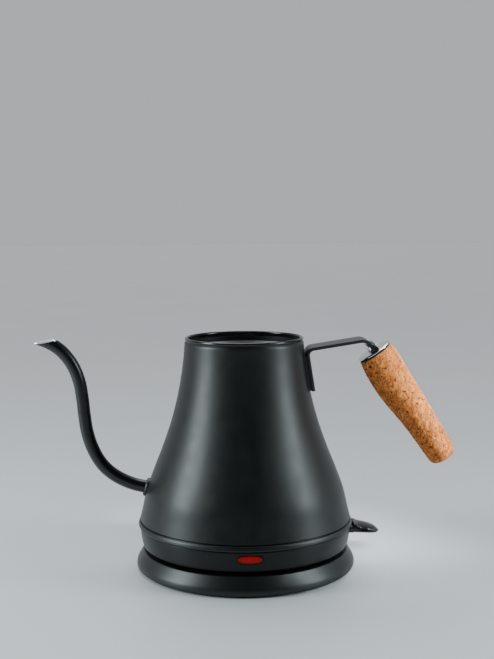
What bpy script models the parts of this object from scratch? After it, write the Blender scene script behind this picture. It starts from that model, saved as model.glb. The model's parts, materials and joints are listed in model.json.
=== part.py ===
"""Electric gooseneck kettle standing on its cordless power base.

Frame: origin on the floor under the centre of the base, +Z up, spout towards -X, handle and
switch towards +X, indicator lamp towards -Y. Dimensions below are in millimetres, and meshes
are written in metres.
"""

import math

import bmesh
import bpy
from mathutils import Matrix, Vector

MM = 0.001
GAP = 0.3  # clearance left between pieces that touch on the real kettle

# Facets round a turned piece
ROUND_LARGE = 40
ROUND_MEDIUM = 24
ROUND_SMALL = 12

# Power base
BASE_RADIUS = 75.0
BASE_TOP = 13.0
BASE_DECK = 11.5  # sunken deck that the kettle stands on
BASE_DECK_UNDERSIDE = 9.5
BASE_SKIRT_BOTTOM = 0.9
COVER_BOTTOM = 1.2
COVER_TOP = 3.8
COVER_RADIUS = 72.4
FOOT_RADIUS = 5.0
FOOT_CIRCLE = 62.0
FOOT_COUNT = 4
SCREW_COUNT = 3
BASE_SCREW_CIRCLE = 40.0
POST_RADIUS = 16.9
POST_TOP = 22.5
GLAND_HEIGHT = 6.0
GLAND_RADIUS = 4.1
GLAND_BORE = 3.2

# Kettle: shell
SHELL_WALL = 1.0
RIM_TOP = 158.2
RIM_BEAD = 2.3
# (height, outer radius) of the shell, widest at the seam and narrow at the mouth
SHELL_OUTLINE = (
    (34.0, 72.37),
    (42.0, 70.45),
    (54.0, 67.61),
    (68.0, 62.53),
    (84.0, 56.19),
    (102.0, 50.04),
    (122.0, 45.03),
    (142.0, 41.79),
    (158.0, 40.39),
)

SHELL_HEIGHTS = (33.9, 40.0, 50.0, 61.0, 73.0, 86.0, 100.0, 116.0, 134.0, 155.5)

# Kettle: lower housing
BAND_BOTTOM = 15.7
BAND_TOP = 33.3
PLATE_BOTTOM = 35.0
PLATE_TOP = 36.0
KETTLE_COVER_RADIUS = 66.7
KETTLE_COVER_BOTTOM = 14.2
KETTLE_COVER_TOP = 16.2
KETTLE_SCREW_CIRCLE = 61.5
SOCKET_INNER = 17.5
SOCKET_OUTER = 20.5
SOCKET_LOW = 13.5
SOCKET_ROOF = 23.3
SOCKET_TOP = 25.6
ELEMENT_CIRCLE = 44.0
ELEMENT_RADIUS = 3.2
ELEMENT_HEIGHT = 31.4
STEAM_X = 33.0
STEAM_RADIUS = 4.0
STEAM_BORE = 3.3
STEAM_TOP = 146.0

# Indicator window in the front of the band
LENS_LENGTH = 16.4
LENS_HEIGHT = 5.2
LENS_CENTRE_Z = 24.4
LENS_RADIUS = 72.1
LENS_BACK = 69.6

# Spout: centre line in the XZ plane, from inside the shell to the mouth
SPOUT_OUTER = 4.4
SPOUT_WALL = 0.8
SPOUT_ROUTE = (
    (-67.2, 54.8),
    (-76.7, 57.2),
    (-86.4, 61.6),
    (-94.5, 67.6),
    (-100.6, 75.3),
    (-105.0, 84.6),
    (-107.9, 94.9),
    (-109.4, 105.8),
    (-110.5, 117.1),
    (-112.4, 128.7),
    (-116.7, 139.9),
    (-124.1, 149.7),
    (-133.5, 156.0),
    (-143.0, 159.2),
    (-151.0, 161.0),
)
SPOUT_STATIONS = 34
MOUTH_LIP = (-145.2, 154.7)  # the mouth is cut off on the slant from lip to heel
MOUTH_HEEL = (-127.1, 157.1)
COLLAR_HEIGHT = 54.7
COLLAR_RADIUS = 6.5
COLLAR_RISE = 1.9
COLLAR_LEAN = math.radians(73)  # the ring lies on the shell's slope

# Handle bracket: strip bent in the XZ plane
STRAP_WIDTH = 21.0
STRAP_THICKNESS = 2.3
STRAP_FOOT = (46.75, 121.4)
STRAP_CORNER = (42.35, 149.55)
STRAP_BEND = 4.3
STRAP_NECK_BEND = 8.0
RUN_END = -9.1  # where the upper run would meet the neck, along the grip's axis
NECK_END = -3.95
FERRULE_TOP = -5.2
FERRULE_HALF_DEPTH = 3.0
FERRULE_HALF_WIDTH = 11.2
POCKET_FLOOR = -3.6  # the strip's end stands in a pocket of the ferrule

# Grip: turned about an axis that leans out from the cap plate's centre
GRIP_TOP = (88.7, 148.36)
GRIP_LEAN = math.radians(33.4)
GRIP_LENGTH = 91.2
CAP_RADIUS = 12.2
# (distance down the axis, radius) of the cork
CORK_OUTLINE = (
    (2.9, 12.2),
    (8.0, 13.0),
    (14.0, 13.5),
    (22.0, 13.55),
    (32.0, 13.25),
    (44.0, 12.45),
    (56.0, 11.4),
    (68.0, 10.75),
    (80.0, 10.35),
    (86.0, 10.1),
)
CORK_SWELL = 0.9  # how far the cork's middle swells towards the kettle
CORK_SWELL_AT = 28.0
CORK_SWELL_SPREAD = 17.0
CORK_END_ROUND = 4.6
ROD_RADIUS = 2.5
BORE_RADIUS = 2.9
END_POCKET = 80.0

# Switch lever
PIVOT = (63.5, 24.2)
LEVER_TIP = 92.8
LEVER_HALF_WIDTH = 9.5
PLUNGER_X = 50.0


def clear_scene():
    for item in list(bpy.data.objects):
        bpy.data.objects.remove(item, do_unlink=True)


def make_material(name, color, roughness, metallic=0.0):
    material = bpy.data.materials.new(name)
    material.use_nodes = True
    shader = material.node_tree.nodes["Principled BSDF"]
    shader.inputs["Base Color"].default_value = (*color, 1.0)
    shader.inputs["Roughness"].default_value = roughness
    shader.inputs["Metallic"].default_value = metallic
    return material


def make_empty(name, location, parent=None):
    empty = bpy.data.objects.new(name, None)
    empty.location = Vector(location) * MM
    empty.parent = parent
    bpy.context.scene.collection.objects.link(empty)
    return empty


def add_object(name, bm, finish, origin=(0, 0, 0), parent=None):
    """Turns a bmesh in world millimetres into an object whose origin is the given point."""
    bmesh.ops.recalc_face_normals(bm, faces=bm.faces)
    bmesh.ops.transform(bm, matrix=Matrix.Translation(-Vector(origin)), verts=bm.verts)
    bmesh.ops.transform(bm, matrix=Matrix.Scale(MM, 4), verts=bm.verts)
    mesh = bpy.data.meshes.new(name)
    bm.to_mesh(mesh)
    bm.free()
    mesh.shade_smooth()
    mesh.set_sharp_from_angle(angle=math.radians(35))
    mesh.materials.append(make_material(name + "_finish", *finish))
    piece = bpy.data.objects.new(name, mesh)
    piece.location = Vector(origin) * MM
    if parent:
        piece.parent = parent
        piece.location -= parent.matrix_world.translation
    bpy.context.scene.collection.objects.link(piece)
    return piece


def combine(piece, operation, *tools, solver="EXACT"):
    """Adds hidden Boolean operands to a piece. The modifiers stay live.

    EXACT leaves open edges where a plate takes several holes in a row; MANIFOLD cuts those cleanly.
    """
    for tool in tools:
        tool.hide_render = True
        tool.display_type = "WIRE"
        modifier = piece.modifiers.new(tool.name, "BOOLEAN")
        modifier.operation = operation
        modifier.object = tool
        modifier.solver = solver
    return piece


def smooth_curve(knots, count):
    """Points along a Catmull-Rom curve through 2-D knots, evenly spread by knot."""
    padded = [2 * Vector(knots[0]) - Vector(knots[1])]
    padded += [Vector(knot) for knot in knots]
    padded.append(2 * padded[-1] - padded[-2])
    points = []
    for step in range(count):
        place = step / (count - 1) * (len(knots) - 1)
        start = min(int(place), len(knots) - 2)
        u = place - start
        a, b, c, d = padded[start : start + 4]
        bend = (2 * a - 5 * b + 4 * c - d) * u + (3 * b - a - 3 * c + d) * u * u
        points.append(0.5 * (2 * b + ((c - a) + bend) * u))
    return points


def arc(centre, radius, start, end, count):
    """Points on a circular arc in a plane, angles in degrees."""
    angles = [math.radians(start + (end - start) * i / (count - 1)) for i in range(count)]
    return [(centre[0] + radius * math.cos(a), centre[1] + radius * math.sin(a)) for a in angles]


def ring_positions(circle, count, first=0.0):
    """Centres spread evenly round a circle, first angle in degrees."""
    angles = [math.radians(first + 360 * i / count) for i in range(count)]
    return [(circle * math.cos(a), circle * math.sin(a)) for a in angles]


def bridge(bm, first, second):
    """Faces between two rings of vertices. A ring of one vertex is a pole."""
    count = max(len(first), len(second))
    for i in range(count):
        j = (i + 1) % count
        corners = [first[i % len(first)], first[j % len(first)]]
        corners += [second[j % len(second)], second[i % len(second)]]
        bm.faces.new(list(dict.fromkeys(corners)))


def turned(name, profile, finish, centre=(0, 0, 0), facets=ROUND_MEDIUM, parent=None, turn=None):
    """A turned piece from a closed (radius, height) profile.

    Points at radius 0 are poles. The axis is +Z through centre, or is turned by a matrix.
    """
    bm = bmesh.new()
    rings = []
    for radius, height in profile:
        count = facets if radius > 0 else 1
        angles = [2 * math.pi * i / facets for i in range(count)]
        ring = [(radius * math.cos(a), radius * math.sin(a), height) for a in angles]
        rings.append([bm.verts.new(point) for point in ring])
    for first, second in zip(rings, rings[1:] + rings[:1]):
        if len(first) > 1 or len(second) > 1:
            bridge(bm, first, second)
    place = Matrix.Translation(centre) @ (turn or Matrix.Identity(4))
    bmesh.ops.transform(bm, matrix=place, verts=bm.verts)
    return add_object(name, bm, finish, centre, parent)


def disc(radius, low, high, chamfer=0.0):
    """Profile of a solid round piece with an optional chamfer on both rims."""
    if not chamfer:
        return [(0, low), (radius, low), (radius, high), (0, high)]
    inner = radius - chamfer
    lower = [(0, low), (inner, low), (radius, low + chamfer)]
    return lower + [(radius, high - chamfer), (inner, high), (0, high)]


def washer(inner, outer, low, high):
    """Profile of a plain ring."""
    return [(inner, low), (outer, low), (outer, high), (inner, high)]


def extruded(name, outline, low, high, finish, origin=(0, 0, 0), parent=None, bevel=0.0):
    """A prism from an XZ outline, from Y = low to Y = high."""
    bm = bmesh.new()
    front = [bm.verts.new((x, low, z)) for x, z in outline]
    back = [bm.verts.new((x, high, z)) for x, z in outline]
    bm.faces.new(front)
    bm.faces.new(back)
    bridge(bm, front, back)
    piece = add_object(name, bm, finish, origin, parent)
    if bevel:
        rounding = piece.modifiers.new("edge rounding", "BEVEL")
        rounding.width = bevel * MM
        rounding.segments = 1
        rounding.limit_method = "ANGLE"
    return piece


def block(name, low, high, finish, parent=None, bevel=0.0):
    """A box between two corners."""
    (x0, y0, z0), (x1, y1, z1) = low, high
    outline = [(x0, z0), (x1, z0), (x1, z1), (x0, z1)]
    return extruded(name, outline, y0, y1, finish, parent=parent, bevel=bevel)


def swept(name, route, radius, finish, bore=0.0, facets=ROUND_SMALL, parent=None):
    """A round tube or rod along 3-D points."""
    bm = bmesh.new()
    radii = [radius, bore] if bore else [radius]
    walls = [[] for _ in radii]
    side = Vector((0, 1, 0))
    for i, point in enumerate(route):
        ahead = route[min(i + 1, len(route) - 1)] - route[max(i - 1, 0)]
        along = ahead.normalized()
        across = side.cross(along).normalized()
        up = along.cross(across)
        for wall, size in zip(walls, radii):
            ring = []
            for k in range(facets):
                angle = 2 * math.pi * k / facets
                spoke = math.cos(angle) * up + math.sin(angle) * across
                ring.append(bm.verts.new(point + size * spoke))
            wall.append(ring)
    for wall in walls:
        for first, second in zip(wall, wall[1:]):
            bridge(bm, first, second)
    for end in (0, -1):
        if bore:
            bridge(bm, walls[0][end], walls[1][end])
        else:
            bm.faces.new(walls[0][end])
    return add_object(name, bm, finish, parent=parent)


BLACK_PLASTIC = ((0.018, 0.02, 0.022), 0.55)
BLACK_RUBBER = ((0.012, 0.012, 0.012), 0.85)
BLACK_PAINT = ((0.02, 0.023, 0.024), 0.5, 0.1)
GLOSS_BLACK = ((0.006, 0.006, 0.007), 0.12)
STEEL = ((0.62, 0.63, 0.64), 0.3, 1.0)
POLISHED_STEEL = ((0.78, 0.79, 0.8), 0.1, 1.0)
BRASS = ((0.78, 0.57, 0.26), 0.3, 1.0)
CORK = ((0.6, 0.32, 0.14), 0.8)
RED = ((0.45, 0.005, 0.01), 0.2)
WHITE_PLASTIC = ((0.75, 0.74, 0.7), 0.5)
CUTTER = ((0.8, 0.2, 0.8), 0.5)


def stepped_hole(name, centre, head_radius, shank_radius, low, step, high, parent=None):
    """Cutter for a counterbored screw hole, opened from below."""
    profile = [(0, low), (head_radius, low), (head_radius, step)]
    profile += [(shank_radius, step), (shank_radius, high), (0, high)]
    return turned(name, profile, CUTTER, centre, ROUND_SMALL, parent)


def screw(name, centre, head_radius, head, length, parent=None):
    """Pan-head screw driven upwards: head is its (low, high), length the shank's top."""
    low, high = head
    profile = [(0, low), (head_radius - 0.4, low), (head_radius, low + 0.4), (head_radius, high)]
    profile += [(1.35, high), (1.35, length - 1.0), (0.6, length), (0, length)]
    return turned(name, profile, STEEL, centre, ROUND_SMALL, parent)


def build_base():
    skirt = [(74.2, BASE_SKIRT_BOTTOM), (BASE_RADIUS, 2.9), (74.7, 5.4)]
    skirt += [(73.4, 8.0), (71.4, 11.0), (70.6, 12.4), (69.4, BASE_TOP)]
    deck = [(66.6, BASE_TOP), (66.0, BASE_DECK), (POST_RADIUS + 0.4, BASE_DECK)]
    underside = [(POST_RADIUS + 0.4, BASE_DECK_UNDERSIDE), (66.4, BASE_DECK_UNDERSIDE)]
    underside += [(68.3, 10.6), (69.6, 10.2), (71.6, 7.4), (72.8, 4.2)]
    underside += [(72.8, BASE_SKIRT_BOTTOM)]
    top = turned("base_top", skirt + deck + underside, BLACK_PLASTIC, facets=ROUND_LARGE)

    spots = ring_positions(BASE_SCREW_CIRCLE, SCREW_COUNT, 90)
    boss_low = COVER_TOP + GAP
    for i, (x, y) in enumerate(spots, 1):
        centre = (x, y, 0)
        boss = turned(f"base_boss_{i}", disc(3.8, boss_low, 10.2), CUTTER, centre, ROUND_SMALL)
        combine(top, "UNION", boss, solver="MANIFOLD")
    for i, (x, y) in enumerate(spots, 1):
        bore = turned(f"base_bore_{i}", disc(1.7, boss_low - 1, 9.3), CUTTER, (x, y, 0), ROUND_SMALL)
        combine(top, "DIFFERENCE", bore, solver="MANIFOLD")
    outward = Matrix.Rotation(-math.pi / 2, 4, "X")  # local +Z to world +Y
    gland_at = (0, 0, GLAND_HEIGHT)
    notch = turned("gland_notch", disc(GLAND_RADIUS + GAP, 65, 80), CUTTER, gland_at, 16, turn=outward)
    combine(top, "DIFFERENCE", notch, solver="MANIFOLD")

    cover = turned("base_bottom_cover", disc(COVER_RADIUS, COVER_BOTTOM, COVER_TOP), BLACK_PLASTIC,
                   facets=ROUND_LARGE)
    combine(cover, "DIFFERENCE", notch, solver="MANIFOLD")
    for i, (x, y) in enumerate(spots, 1):
        hole = stepped_hole(f"cover_hole_{i}", (x, y, 0), 3.2, 1.7, 0.5, 2.6, 5)
        combine(cover, "DIFFERENCE", hole, solver="MANIFOLD")
        screw(f"base_screw_{i}", (x, y, 0), 2.8, (COVER_BOTTOM, 2.3), 8.6)
    for i, (x, y) in enumerate(ring_positions(FOOT_CIRCLE, FOOT_COUNT, 45), 1):
        pad = disc(FOOT_RADIUS, 0, COVER_BOTTOM - GAP, 0.25)
        turned(f"base_foot_{i}", pad, BLACK_RUBBER, (x, y, 0), 16)

    post = [(0, COVER_TOP + GAP), (15, COVER_TOP + GAP), (15, 7.2), (22, 7.2), (22, 9.2)]
    post += [(POST_RADIUS, 9.2), (POST_RADIUS, POST_TOP - 1), (POST_RADIUS - 1, POST_TOP)]
    post += [(11.4, POST_TOP), (11.4, 14.5), (8.6, 14.5), (8.6, POST_TOP)]
    post += [(3.9, POST_TOP), (3.4, POST_TOP - 0.5), (3.4, 12.0), (0, 12.0)]
    turned("base_connector_post", post, BLACK_PLASTIC)
    turned("base_contact_ring", washer(10.4, 11.1, 14.8, 21.2), BRASS)
    turned("base_contact_sleeve", washer(2.2, 3.1, 12.3, 21.6), BRASS, facets=ROUND_SMALL)

    gland = washer(GLAND_BORE, GLAND_RADIUS, 66.0, BASE_RADIUS)
    turned("cord_gland", gland, BLACK_RUBBER, gland_at, 16, turn=outward)


def build_swivel_ring():
    ring = washer(POST_RADIUS + 0.4, 19.8, BASE_DECK + GAP, 13.2)
    return turned("swivel_ring", ring, WHITE_PLASTIC, parent=make_empty("swivel_axis", (0, 0, 0)))


def shell_radius(height):
    """Outer radius of the shell at a height, on a smooth curve through its outline."""
    curve = smooth_curve(SHELL_OUTLINE, 161)
    for low, high in zip(curve, curve[1:]):
        if height <= high[0]:
            break
    share = (height - low[0]) / (high[0] - low[0])
    return low[1] + share * (high[1] - low[1])


def build_shell(kettle):
    outside = [(shell_radius(z), z) for z in SHELL_HEIGHTS]
    inside = [(radius - SHELL_WALL, z) for radius, z in reversed(outside)]
    rim = shell_radius(RIM_TOP - 1)
    bead = [(rim, RIM_TOP - 0.9), (rim - 0.6, RIM_TOP - 0.2), (rim - 1.2, RIM_TOP)]
    bead += [(rim - RIM_BEAD + 0.5, RIM_TOP - 0.3), (rim - RIM_BEAD, RIM_TOP - 1.1)]
    bead += [(rim - RIM_BEAD + 0.4, RIM_TOP - 2.0)]
    shell = turned("body_shell", outside + bead + inside, BLACK_PAINT, facets=ROUND_LARGE, parent=kettle)
    root, following = Vector(SPOUT_ROUTE[0]), Vector(SPOUT_ROUTE[1])
    along = (following - root).normalized()
    tilt = Matrix.Rotation(math.atan2(along.x, along.y), 4, "Y")
    bore = disc(SPOUT_OUTER + GAP, -8, 12)
    hole = turned("spout_hole", bore, CUTTER, (root.x, 0, root.y), 16, kettle, tilt)
    combine(shell, "DIFFERENCE", hole)

    top_edge = shell_radius(PLATE_TOP + 2) - SHELL_WALL - 0.4
    floor = [(0, PLATE_BOTTOM), (70.7, PLATE_BOTTOM), (top_edge, PLATE_TOP + 2)]
    floor += [(top_edge - 0.8, PLATE_TOP + 2), (69.4, PLATE_TOP), (0, PLATE_TOP)]
    plate = turned("heater_plate", floor, STEEL, facets=ROUND_LARGE, parent=kettle)
    steam = (STEAM_X, 0, 0)
    combine(plate, "DIFFERENCE", turned(
        "steam_hole", disc(STEAM_RADIUS + 0.4, 30, 40), CUTTER, steam, 16, kettle))
    turned("steam_tube", washer(STEAM_BORE, STEAM_RADIUS, 29.8, STEAM_TOP), STEEL, steam, 16, kettle)
    turned("steam_seal", washer(STEAM_RADIUS + GAP, 6.6, 32.2, 34.7), BLACK_RUBBER, steam, 16, kettle)
    turned("shell_seal_ring", washer(67.5, 70.9, 33.6, 34.7), BLACK_RUBBER, facets=ROUND_LARGE,
           parent=kettle)


def build_spout(kettle):
    route = [Vector((x, 0, z)) for x, z in smooth_curve(SPOUT_ROUTE, SPOUT_STATIONS)]
    tube = swept("spout_tube", route, SPOUT_OUTER, BLACK_PAINT, SPOUT_OUTER - SPOUT_WALL, parent=kettle)
    lip, heel = Vector(MOUTH_LIP), Vector(MOUTH_HEEL)
    run = (heel - lip).normalized() * 12
    up = Vector((0, 20))
    above = [lip - run, heel + run, heel + run + up, lip - run + up]
    combine(tube, "DIFFERENCE", extruded("mouth_cut", above, -9, 9, CUTTER))
    tilt = Matrix.Rotation(-COLLAR_LEAN, 4, "Y")
    inner = SPOUT_OUTER + 0.45
    ring = [(inner, 0), (COLLAR_RADIUS, 0), (COLLAR_RADIUS, COLLAR_RISE - 0.7)]
    ring += [(COLLAR_RADIUS - 0.6, COLLAR_RISE), (inner, COLLAR_RISE)]
    seat = (-shell_radius(COLLAR_HEIGHT) - 0.35, 0, COLLAR_HEIGHT)
    turned("spout_collar", ring, BLACK_PAINT, seat, 16, kettle, tilt)


def fillet(corner, before, after, radius, count):
    """Points of the arc that rounds a corner between two straight runs in a plane."""
    inward = (before - corner).normalized()
    outward = (after - corner).normalized()
    half = inward.angle(outward) / 2
    reach = radius / math.tan(half)
    centre = corner + (inward + outward).normalized() * (radius / math.sin(half))
    start, end = corner + inward * reach - centre, corner + outward * reach - centre
    sweep = start.angle_signed(end)
    points = []
    for i in range(count):
        turn = Matrix.Rotation(-sweep * i / (count - 1), 2)
        points.append(centre + turn @ start)
    return points


def grip_point(distance, offset=0.0):
    """World XZ of a point down the grip's axis, offset outwards from the kettle."""
    along = Vector((math.sin(GRIP_LEAN), -math.cos(GRIP_LEAN)))
    out = Vector((math.cos(GRIP_LEAN), math.sin(GRIP_LEAN)))
    return Vector(GRIP_TOP) + distance * along + offset * out


def strap_route():
    """Centre line of the bracket: up the shell, out along the upper run, down into the ferrule."""
    foot, corner = Vector(STRAP_FOOT), Vector(STRAP_CORNER)
    run_end = grip_point(RUN_END)
    neck = grip_point(NECK_END)
    route = [foot] + fillet(corner, foot, run_end, STRAP_BEND, 6)
    return route + fillet(run_end, corner, neck, STRAP_NECK_BEND, 7)


def build_handle(kettle):
    route = strap_route()
    outer, inner = [], []
    for i, point in enumerate(route):
        along = (route[min(i + 1, len(route) - 1)] - route[max(i - 1, 0)]).normalized()
        side = Vector((-along.y, along.x)) * STRAP_THICKNESS / 2
        outer.append(point + side)
        inner.append(point - side)
    half = STRAP_WIDTH / 2
    extruded("handle_bracket", outer + inner[::-1], -half, half, BLACK_PAINT, parent=kettle, bevel=0.5)

    build_ferrule(kettle)

    top = grip_point(0)
    centre = (top.x, 0, top.y)
    down = Matrix.Rotation(math.pi - GRIP_LEAN, 4, "Y")  # local +Z runs down the grip
    cap = [(BORE_RADIUS, 0.1), (BORE_RADIUS + 3, 0.05), (10.6, 0.4), (CAP_RADIUS, 0.9)]
    cap += [(CAP_RADIUS, 1.4), (BORE_RADIUS, 1.4)]
    turned("grip_cap_plate", cap, POLISHED_STEEL, centre, ROUND_MEDIUM, kettle, down)
    turned("grip_gasket", washer(BORE_RADIUS, CAP_RADIUS - 0.3, 1.7, 2.6), BLACK_RUBBER, centre,
           ROUND_MEDIUM, kettle, down)
    turned("handle_rod", disc(ROD_RADIUS, 0.1, 86.4, 0.3), STEEL, centre, ROUND_SMALL, kettle, down)
    turned("grip_washer", washer(BORE_RADIUS, 5.6, 80.3, 81.3), STEEL, centre, ROUND_SMALL, kettle, down)
    turned("grip_nut", washer(BORE_RADIUS, 4.6, 81.6, 85.6), STEEL, centre, 6, kettle, down)
    turned("grip_end_plug", disc(5.7, 86.9, GRIP_LENGTH - 0.1, 0.4), CORK, centre, 16, kettle, down)
    build_cork(kettle, centre, down)


def build_ferrule(kettle):
    """Polished collar with round ends and a pocket for the strip's end."""
    top = grip_point(0)
    place = Matrix.Translation((top.x, 0, top.y)) @ Matrix.Rotation(math.pi - GRIP_LEAN, 4, "Y")
    reach = FERRULE_HALF_WIDTH - FERRULE_HALF_DEPTH
    outline = arc((reach, 0), FERRULE_HALF_DEPTH, -90, 90, 7)
    outline += arc((-reach, 0), FERRULE_HALF_DEPTH, 90, 270, 7)
    bm = bmesh.new()
    rings = [[bm.verts.new(place @ Vector((x, y, depth))) for y, x in outline]
             for depth in (FERRULE_TOP, -GAP)]
    bm.faces.new(rings[0])
    bm.faces.new(rings[1])
    bridge(bm, *rings)
    ferrule = add_object("handle_ferrule", bm, POLISHED_STEEL, parent=kettle)
    half_depth = STRAP_THICKNESS / 2 + GAP
    half_width = STRAP_WIDTH / 2 + GAP
    corners = [(half_depth, FERRULE_TOP - 2), (half_depth, POCKET_FLOOR), (-half_depth, POCKET_FLOOR)]
    corners.append((-half_depth, FERRULE_TOP - 2))
    bm = bmesh.new()
    near, far = [[bm.verts.new(place @ Vector((x, y, depth))) for x, depth in corners]
                 for y in (-half_width, half_width)]
    bm.faces.new(near)
    bm.faces.new(far)
    bridge(bm, near, far)
    combine(ferrule, "DIFFERENCE", add_object("ferrule_pocket", bm, CUTTER))


def build_cork(kettle, centre, down):
    """Cork sleeve: rings that follow the outline, then a rounded end, the end pocket and the bore."""
    body = [(v[0], v[1]) for v in smooth_curve(CORK_OUTLINE, 15)]
    corner = GRIP_LENGTH - CORK_END_ROUND
    last = body[-1][1] - CORK_END_ROUND
    body += [(z, r) for r, z in arc((last, corner), CORK_END_ROUND, 0, 90, 5)]
    body += [(GRIP_LENGTH, 6.0), (END_POCKET, 6.0), (END_POCKET, BORE_RADIUS), (2.9, BORE_RADIUS)]
    bm = bmesh.new()
    rings = []
    for distance, radius in body:
        bulge = math.exp(-(((distance - CORK_SWELL_AT) / CORK_SWELL_SPREAD) ** 2))
        # Local +X points towards the kettle once the axis runs down the grip
        shift = CORK_SWELL * bulge if radius > 6.0 else 0.0
        ring = []
        for i in range(ROUND_MEDIUM):
            angle = 2 * math.pi * i / ROUND_MEDIUM
            ring.append(bm.verts.new((shift + radius * math.cos(angle), radius * math.sin(angle), distance)))
        rings.append(ring)
    for first, second in zip(rings, rings[1:] + rings[:1]):
        bridge(bm, first, second)
    bmesh.ops.transform(bm, matrix=Matrix.Translation(centre) @ down, verts=bm.verts)
    add_object("cork_grip", bm, CORK, centre, kettle)


def stadium(length, height, centre_z, count=6):
    """XZ outline with round ends."""
    reach, radius = (length - height) / 2, height / 2
    right = arc((reach, centre_z), radius, -90, 90, count)
    left = arc((-reach, centre_z), radius, 90, 270, count)
    return right + left


def build_housing(kettle):
    band = [(69.0, BAND_BOTTOM), (70.3, 16.4), (70.9, 17.8), (71.3, 20.0), (71.8, 23.0)]
    band += [(72.3, 26.5), (72.5, 29.2), (73.3, 29.7), (73.5, 30.5), (73.1, 32.0), (72.5, BAND_TOP)]
    band += [(69.7, BAND_TOP), (69.9, 29.0), (69.4, 22.0), (68.6, 18.6), (67.0, 17.4), (67.0, BAND_BOTTOM)]
    ring = turned("housing_band", band, BLACK_PLASTIC, facets=ROUND_LARGE, parent=kettle)
    spots = ring_positions(KETTLE_SCREW_CIRCLE, SCREW_COUNT, 60)
    for i, (x, y) in enumerate(spots, 1):
        boss = block(f"housing_boss_{i}", (-3.9, -3.9, 17.4), (9.3, 3.9, 29.0), CUTTER)
        boss.matrix_world = Matrix.Translation(Vector((x, y, 0)) * MM) @ Matrix.Rotation(
            math.atan2(y, x), 4, "Z")
        combine(ring, "UNION", boss)
    for i, (x, y) in enumerate(spots, 1):
        bore = turned(f"housing_bore_{i}", disc(1.7, 16, 26), CUTTER, (x, y, 0), ROUND_SMALL)
        combine(ring, "DIFFERENCE", bore)
    window = stadium(LENS_LENGTH + 2 * GAP, LENS_HEIGHT + 2 * GAP, LENS_CENTRE_Z)
    combine(ring, "DIFFERENCE", extruded("lens_window", window, -80, -60, CUTTER))
    slot = block("lever_slot", (62, -10.3, 19.6), (80, 10.3, 29.0), CUTTER)
    combine(ring, "DIFFERENCE", slot)

    inner = SOCKET_OUTER + 0.5
    cover = [(inner, KETTLE_COVER_BOTTOM), (52.5, KETTLE_COVER_BOTTOM), (52.9, BASE_DECK + GAP)]
    cover += [(56.1, BASE_DECK + GAP), (56.5, KETTLE_COVER_BOTTOM), (66.0, KETTLE_COVER_BOTTOM)]
    cover += [(KETTLE_COVER_RADIUS, 14.9), (KETTLE_COVER_RADIUS, KETTLE_COVER_TOP)]
    cover += [(inner, KETTLE_COVER_TOP)]
    lid = turned("kettle_bottom_cover", cover, BLACK_PLASTIC, facets=ROUND_LARGE, parent=kettle)
    for i, (x, y) in enumerate(spots, 1):
        hole = stepped_hole(f"bottom_hole_{i}", (x, y, 0), 3.1, 1.7, 13.5, 15.4, 17)
        combine(lid, "DIFFERENCE", hole, solver="MANIFOLD")
        screw(f"cover_screw_{i}", (x, y, 0), 2.7, (14.3, 15.1), 25.0, kettle)

    lens = stadium(LENS_LENGTH, LENS_HEIGHT, LENS_CENTRE_Z)
    bm = bmesh.new()
    front = [bm.verts.new((x, -math.sqrt(LENS_RADIUS**2 - x * x), z)) for x, z in lens]
    back = [bm.verts.new((x, -LENS_BACK, z)) for x, z in lens]
    bm.faces.new(front)
    bm.faces.new(back)
    bridge(bm, front, back)
    add_object("indicator_lens", bm, RED, (0, -71, LENS_CENTRE_Z), kettle)


def build_socket(kettle):
    flange = KETTLE_COVER_TOP + GAP
    body = [(SOCKET_INNER, SOCKET_LOW), (SOCKET_OUTER, SOCKET_LOW), (SOCKET_OUTER, flange)]
    body += [(24, flange), (24, 18.2), (SOCKET_OUTER, 18.2), (SOCKET_OUTER, SOCKET_TOP)]
    body += [(0, SOCKET_TOP), (0, SOCKET_ROOF), (SOCKET_INNER, SOCKET_ROOF)]
    turned("connector_socket", body, BLACK_PLASTIC, parent=kettle)
    contact_top = SOCKET_ROOF - GAP
    turned("socket_blade_ring", washer(9.05, 9.95, 15.4, contact_top), BRASS, parent=kettle)
    turned("socket_pin", disc(1.8, 13.4, contact_top, 0.4), BRASS, facets=ROUND_SMALL, parent=kettle)


def build_heater(kettle):
    sweep = [math.radians(36 + 288 * i / 28) for i in range(29)]
    loop = [Vector((ELEMENT_CIRCLE * math.cos(a), ELEMENT_CIRCLE * math.sin(a), ELEMENT_HEIGHT))
            for a in sweep]
    bm = bmesh.new()
    rings = []
    for point in loop:
        out = Vector((point.x, point.y, 0)).normalized()
        circle = arc((0, 0), ELEMENT_RADIUS, 0, 315, 8)
        rings.append([bm.verts.new(point + u * out + Vector((0, 0, v))) for u, v in circle])
    for first, second in zip(rings, rings[1:]):
        bridge(bm, first, second)
    bm.faces.new(rings[0])
    bm.faces.new(rings[-1])
    add_object("heating_element", bm, STEEL, parent=kettle)
    for i, angle in enumerate((28, -28), 1):
        spot = ELEMENT_CIRCLE * Vector((math.cos(math.radians(angle)), math.sin(math.radians(angle))))
        pin = disc(1.6, 20.5, 33.0, 0.3)
        turned(f"element_pin_{i}", pin, STEEL, (spot.x, spot.y, 0), ROUND_SMALL, kettle)
    turned("bimetal_disc", [(0, 26.2), (8.5, 25.6), (8.5, 26.0), (0, 26.6)], BRASS, (STEAM_X, 0, 0), 16,
           kettle)


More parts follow.
